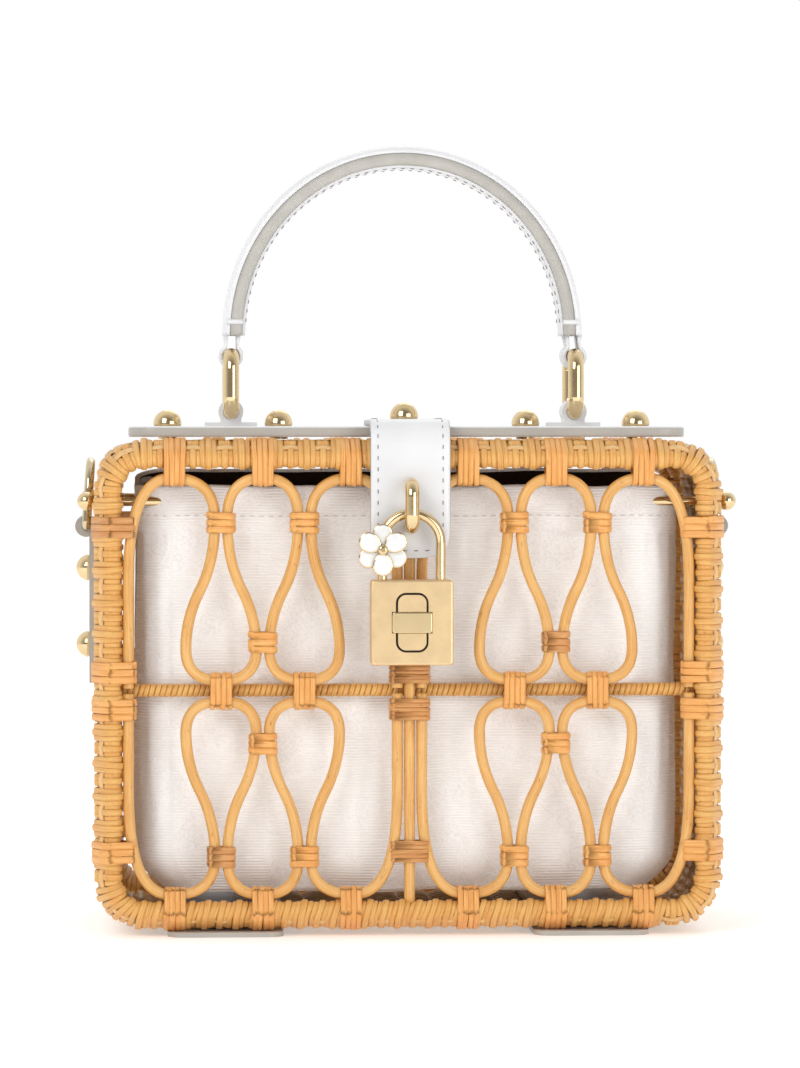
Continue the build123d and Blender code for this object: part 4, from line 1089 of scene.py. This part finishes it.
# ---------------------------------------------------------------- handle
# Two layers of white leather round a core, bent into an arch: a domed outer layer, a
# painted edge between, and an inner layer with stitches, with a loop for a ring at each end.
handle_low, handle_high = corners("handle")
handle_depth = handle_high[1] - handle_low[1]
handle_y = (handle_low[1] + handle_high[1]) / 2
ring_low, ring_high = corners("handle_ring_left")
ring_x = -(ring_low[0] + ring_high[0]) / 2
loop_z = ring_high[2] - 2.5
arch_z0 = loop_z + 6.6
handle_t = 7.4
arch_half = ring_x - 1
arch_rise = handle_high[2] - arch_z0 - handle_t / 2


def arch_spot(turn):
    """Place on the arch's middle line and its outward way; turn runs from 0 to pi."""
    spot = np.array((-arch_half * math.cos(turn), handle_y, arch_z0 + arch_rise * math.sin(turn)))
    out = np.array((-math.cos(turn) / arch_half, 0, math.sin(turn) / arch_rise))
    return spot, out / np.linalg.norm(out)


def arch_layer(section, steps=150):
    """A closed section (across the depth, outward) swept along the arch."""
    points, grain = [], []
    travelled = 0.0
    for step in range(steps + 1):
        spot, out = arch_spot(math.pi * step / steps)
        travelled += 1.2
        for across, level in section:
            points.append(spot + Y * across + out * level)
            grain.append((travelled, across, level))
    return points, skin(steps + 1, len(section), capped=True), grain


def layer_section(low_level, high_level, half, dome=0.0, edge=0.5):
    """Flat strip's section with rounded corners; the top may be domed."""
    top = []
    for share in np.linspace(-1, 1, 17):
        drop = edge * max(0.0, (abs(share) - 0.9) / 0.1) ** 2
        top.append((share * half, high_level - drop - dome * share ** 2))
    under = [(half, low_level + 0.1), (half - 0.2, low_level)]
    under += [(-half + 0.2, low_level), (-half, low_level + 0.1)]
    return top + under


half = handle_depth / 2
outer_seam, inner_seam, skin_level = 1.25, 2.45, handle_t / 2
outer_layer = arch_layer(layer_section(outer_seam, skin_level, half - 0.35, dome=1.0))
edge_band = arch_layer(layer_section(-inner_seam, outer_seam, half - 0.05, edge=0.25))
inner_section = layer_section(inner_seam, skin_level, half - 1.3, dome=0.35)
inner_layer = arch_layer([(across, -level) for across, level in inner_section][::-1])
piece("handle_outer_leather", outer_layer, plain_leather, "handle", ["handle"])
piece("handle_inner_leather", inner_layer, plain_leather, "handle", ())


def paint_finish(name, dark, light, scale, detail, roughness):
    """Paint or enamel with faint clouds of tone; returns it with its shader."""
    finish, shader, nodes, links = material(name)
    place = nodes.new("ShaderNodeTexCoord").outputs["Object"]
    clouds = noise_node(nodes, links, place, scale, detail)
    links.new(ramp(nodes, links, clouds, [(0.3, dark), (0.7, light)]), shader.inputs["Base Color"])
    shader.inputs["Roughness"].default_value = roughness
    return finish, shader


edge_paint, _ = paint_finish("edge_paint", (0.42, 0.40, 0.365), (0.49, 0.47, 0.43), 160.0, 3.0, 0.45)
piece("handle_painted_edge", edge_band, edge_paint, "handle", ())
seam_inset, seam_level = 2.3, 3.42
arch_seams = []
for side in (-1, 1):
    spots, ways = [], []
    for step in range(181):
        spot, out = arch_spot(math.pi * (0.02 + 0.96 * step / 180))
        spots.append(spot + Y * side * (half - seam_inset) - out * seam_level)
        ways.append(-out)
    arch_seams.append(stitches(spots, lambda i, w=ways: w[i], pitch=2.9, length=1.5, width=0.5))
piece("handle_stitches", joined(arch_seams), dark_thread, "handle", ())

loop_bore_r, loop_outer_r, loop_head, tab_half = 2.65, 3.85, 6.9, 6.2
keeper_turn, keeper_reach, keeper_r = 0.075, 2.6, 0.85


def loop_line(radius, neck):
    """Line of a ring's loop from the side: down one side, round the ring and up the other."""
    turns = [math.radians(-90 - 145 + 290 * step / 36) for step in range(37)]
    bend = [(math.cos(turn) * radius, math.sin(turn) * radius) for turn in turns]
    return [(-neck, loop_head)] + bend + [(neck, loop_head)]


inner_line, outer_line = loop_line(loop_bore_r, 1.2), loop_line(loop_outer_r, 2.75)
ends = []
for side in (-1, 1):
    ring_middle = np.array((side * ring_x, handle_y, loop_z))
    points, faces = [], []
    for y in (-tab_half, tab_half):
        for px, pz in inner_line + outer_line[::-1]:
            points.append(ring_middle + np.array((px - side * 0.4 * max(0, pz) / 6, y, pz)))
    count = len(points) // 2
    for k in range(count):
        j = (k + 1) % count
        faces.append((k, j, count + j, count + k))
    span = len(inner_line)
    for k in range(span - 1):
        a, b, c, d = k, k + 1, count - 2 - k, count - 1 - k
        faces.append((a, d, c, b))
        faces.append((count + a, count + b, count + c, count + d))
    ends.append((points, faces, []))
    keeper = arch_spot(keeper_turn if side < 0 else math.pi - keeper_turn)[0]
    for sign in (-1, 1):
        bead = [keeper + Y * sign * half + X * b for b in np.linspace(-keeper_reach, keeper_reach, 7)]
        ends.append(rod(bead, keeper_r, sides=8))
piece("handle_end_loops", joined(ends), plain_leather, "handle", ())

# ---------------------------------------------------------------- gilt hardware
# Polished pale gold rings, staple, shackle, studs and rod ends; the padlock's body has a
# fine satin brush; the flower is gilt with white enamel.


def gold_finish(name, colour, roughness, brushed=0.0):
    """Plated metal with faint wear in its gloss; brushed adds fine upright scratches."""
    finish, shader, nodes, links = material(name)
    place = nodes.new("ShaderNodeTexCoord").outputs["Object"]
    smears = noise_node(nodes, links, place, 220.0, 3.0, 0.6)
    dark = tuple(c * 0.93 for c in colour)
    links.new(ramp(nodes, links, smears, [(0.35, dark), (0.65, colour)]), shader.inputs["Base Color"])
    shader.inputs["Metallic"].default_value = 1.0
    spread = nodes.new("ShaderNodeMapRange")
    spread.inputs["To Min"].default_value = roughness * 0.8
    spread.inputs["To Max"].default_value = roughness * 1.3
    links.new(smears, spread.inputs["Value"])
    links.new(spread.outputs[0], shader.inputs["Roughness"])
    if brushed:
        upright = stretched(nodes, links, place, (5000.0, 5000.0, 160.0))
        scratches = noise_node(nodes, links, upright, 1.0, 2.0)
        bumped(nodes, links, shader, scratches, brushed, 0.00005)
    return finish


polished_gold = gold_finish("polished_gold", (0.78, 0.60, 0.34), 0.10)
ring_gold = gold_finish("ring_gold", (0.66, 0.55, 0.36), 0.13)
satin_gold = gold_finish("satin_gold", (0.84, 0.62, 0.35), 0.34, brushed=0.25)
for node in ("handle_ring_left", "handle_ring_right", "staple_ring", "shackle", "lid_studs", "hanger_balls",
             "hanger_rods", "side_strap_studs", "flower_centre", "lock_band"):
    dress(node, polished_gold)
for node in ("side_ring_left", "side_ring_right"):
    dress(node, ring_gold)
for node in ("lock_body", "lock_plates"):
    dress(node, satin_gold)
for node in ("flap_magnet", "magnet_keeper"):
    dress(node, gold_finish(f"{node}_steel", (0.50, 0.50, 0.52), 0.28))

shadow_line, _ = paint_finish("shadow_line", (0.010, 0.007, 0.005), (0.030, 0.022, 0.015), 400.0, 2.0, 0.6)
lock_low, lock_high = corners("lock_body")
lock_mid = (lock_low + lock_high) / 2
recess_depth, clear_of_floor = 1.2, 0.04
recess_y = lock_low[1] + recess_depth - clear_of_floor
recess_w, recess_h, recess_corner = 5.0, 9.15, 3.1
band_w, band_h = 6.2, 3.25
recess = rounded_plan((-recess_w, lock_mid[2] - recess_h), (recess_w, lock_mid[2] + recess_h), recess_corner)
band_hole = [(w * band_w, lock_mid[2] + h * band_h) for w, h in ((-1, -1), (1, -1), (1, 1), (-1, 1))]
recess_parts = []
for outline, level in ((recess, 0.0), (band_hole, -0.02)):
    spots = [np.array((x, recess_y + level, z)) for x, z in outline]
    recess_parts.append((spots, [tuple(range(len(spots)))], []))
piece("lock_recess_shadow", joined(recess_parts), shadow_line, "lock", ())

enamel, shader = paint_finish("white_enamel", (0.76, 0.76, 0.75), (0.82, 0.82, 0.81), 300.0, 2.0, 0.16)
shader.inputs["Coat Weight"].default_value = 0.5
shader.inputs["Coat Roughness"].default_value = 0.05
petal_high = corners("flower_petals")[1]
bead_low, bead_high = corners("flower_centre")
flower_x, flower_z = (bead_low[0] + bead_high[0]) / 2, (bead_low[2] + bead_high[2]) / 2


def petal_layer(outline, back_y, levels):
    """A petal's outline stood upright; its levels are counted forward from back_y."""
    spots, faces, _ = slab(outline, levels)
    return [np.array((p[0], back_y - p[2], p[1])) for p in spots], [f[::-1] for f in faces], []


white, gilt = [], []
for layer in range(2):
    back_y = petal_high[1] - layer * 1.2
    for index in range(3):
        angle = math.radians(90 + 180 * layer + 120 * index)
        way = np.array((math.cos(angle), math.sin(angle)))
        side_way = np.array((-math.sin(angle), math.cos(angle)))
        outline = []
        for step in range(40):
            turn = 2 * math.pi * step / 40
            wide = 3.15 * (1 + 0.10 * math.cos(turn))
            flat = way * (4.5 + 3.6 * math.cos(turn)) + side_way * wide * math.sin(turn)
            outline.append((flower_x + flat[0], flower_z + flat[1]))
        gilt.append(petal_layer(outline, back_y, [(0.0, 0.4), (0.15, 0.05), (0.95, 0.05), (1.1, 0.3)]))
        white.append(petal_layer(outline, back_y, [(0.9, 0.42), (1.12, 0.45), (1.22, 0.9), (1.24, 1.6)]))
piece("flower_enamel", joined(white), enamel, "shackle", ["flower_petals"])
piece("flower_gilt_rims", joined(gilt), polished_gold, "shackle", ())
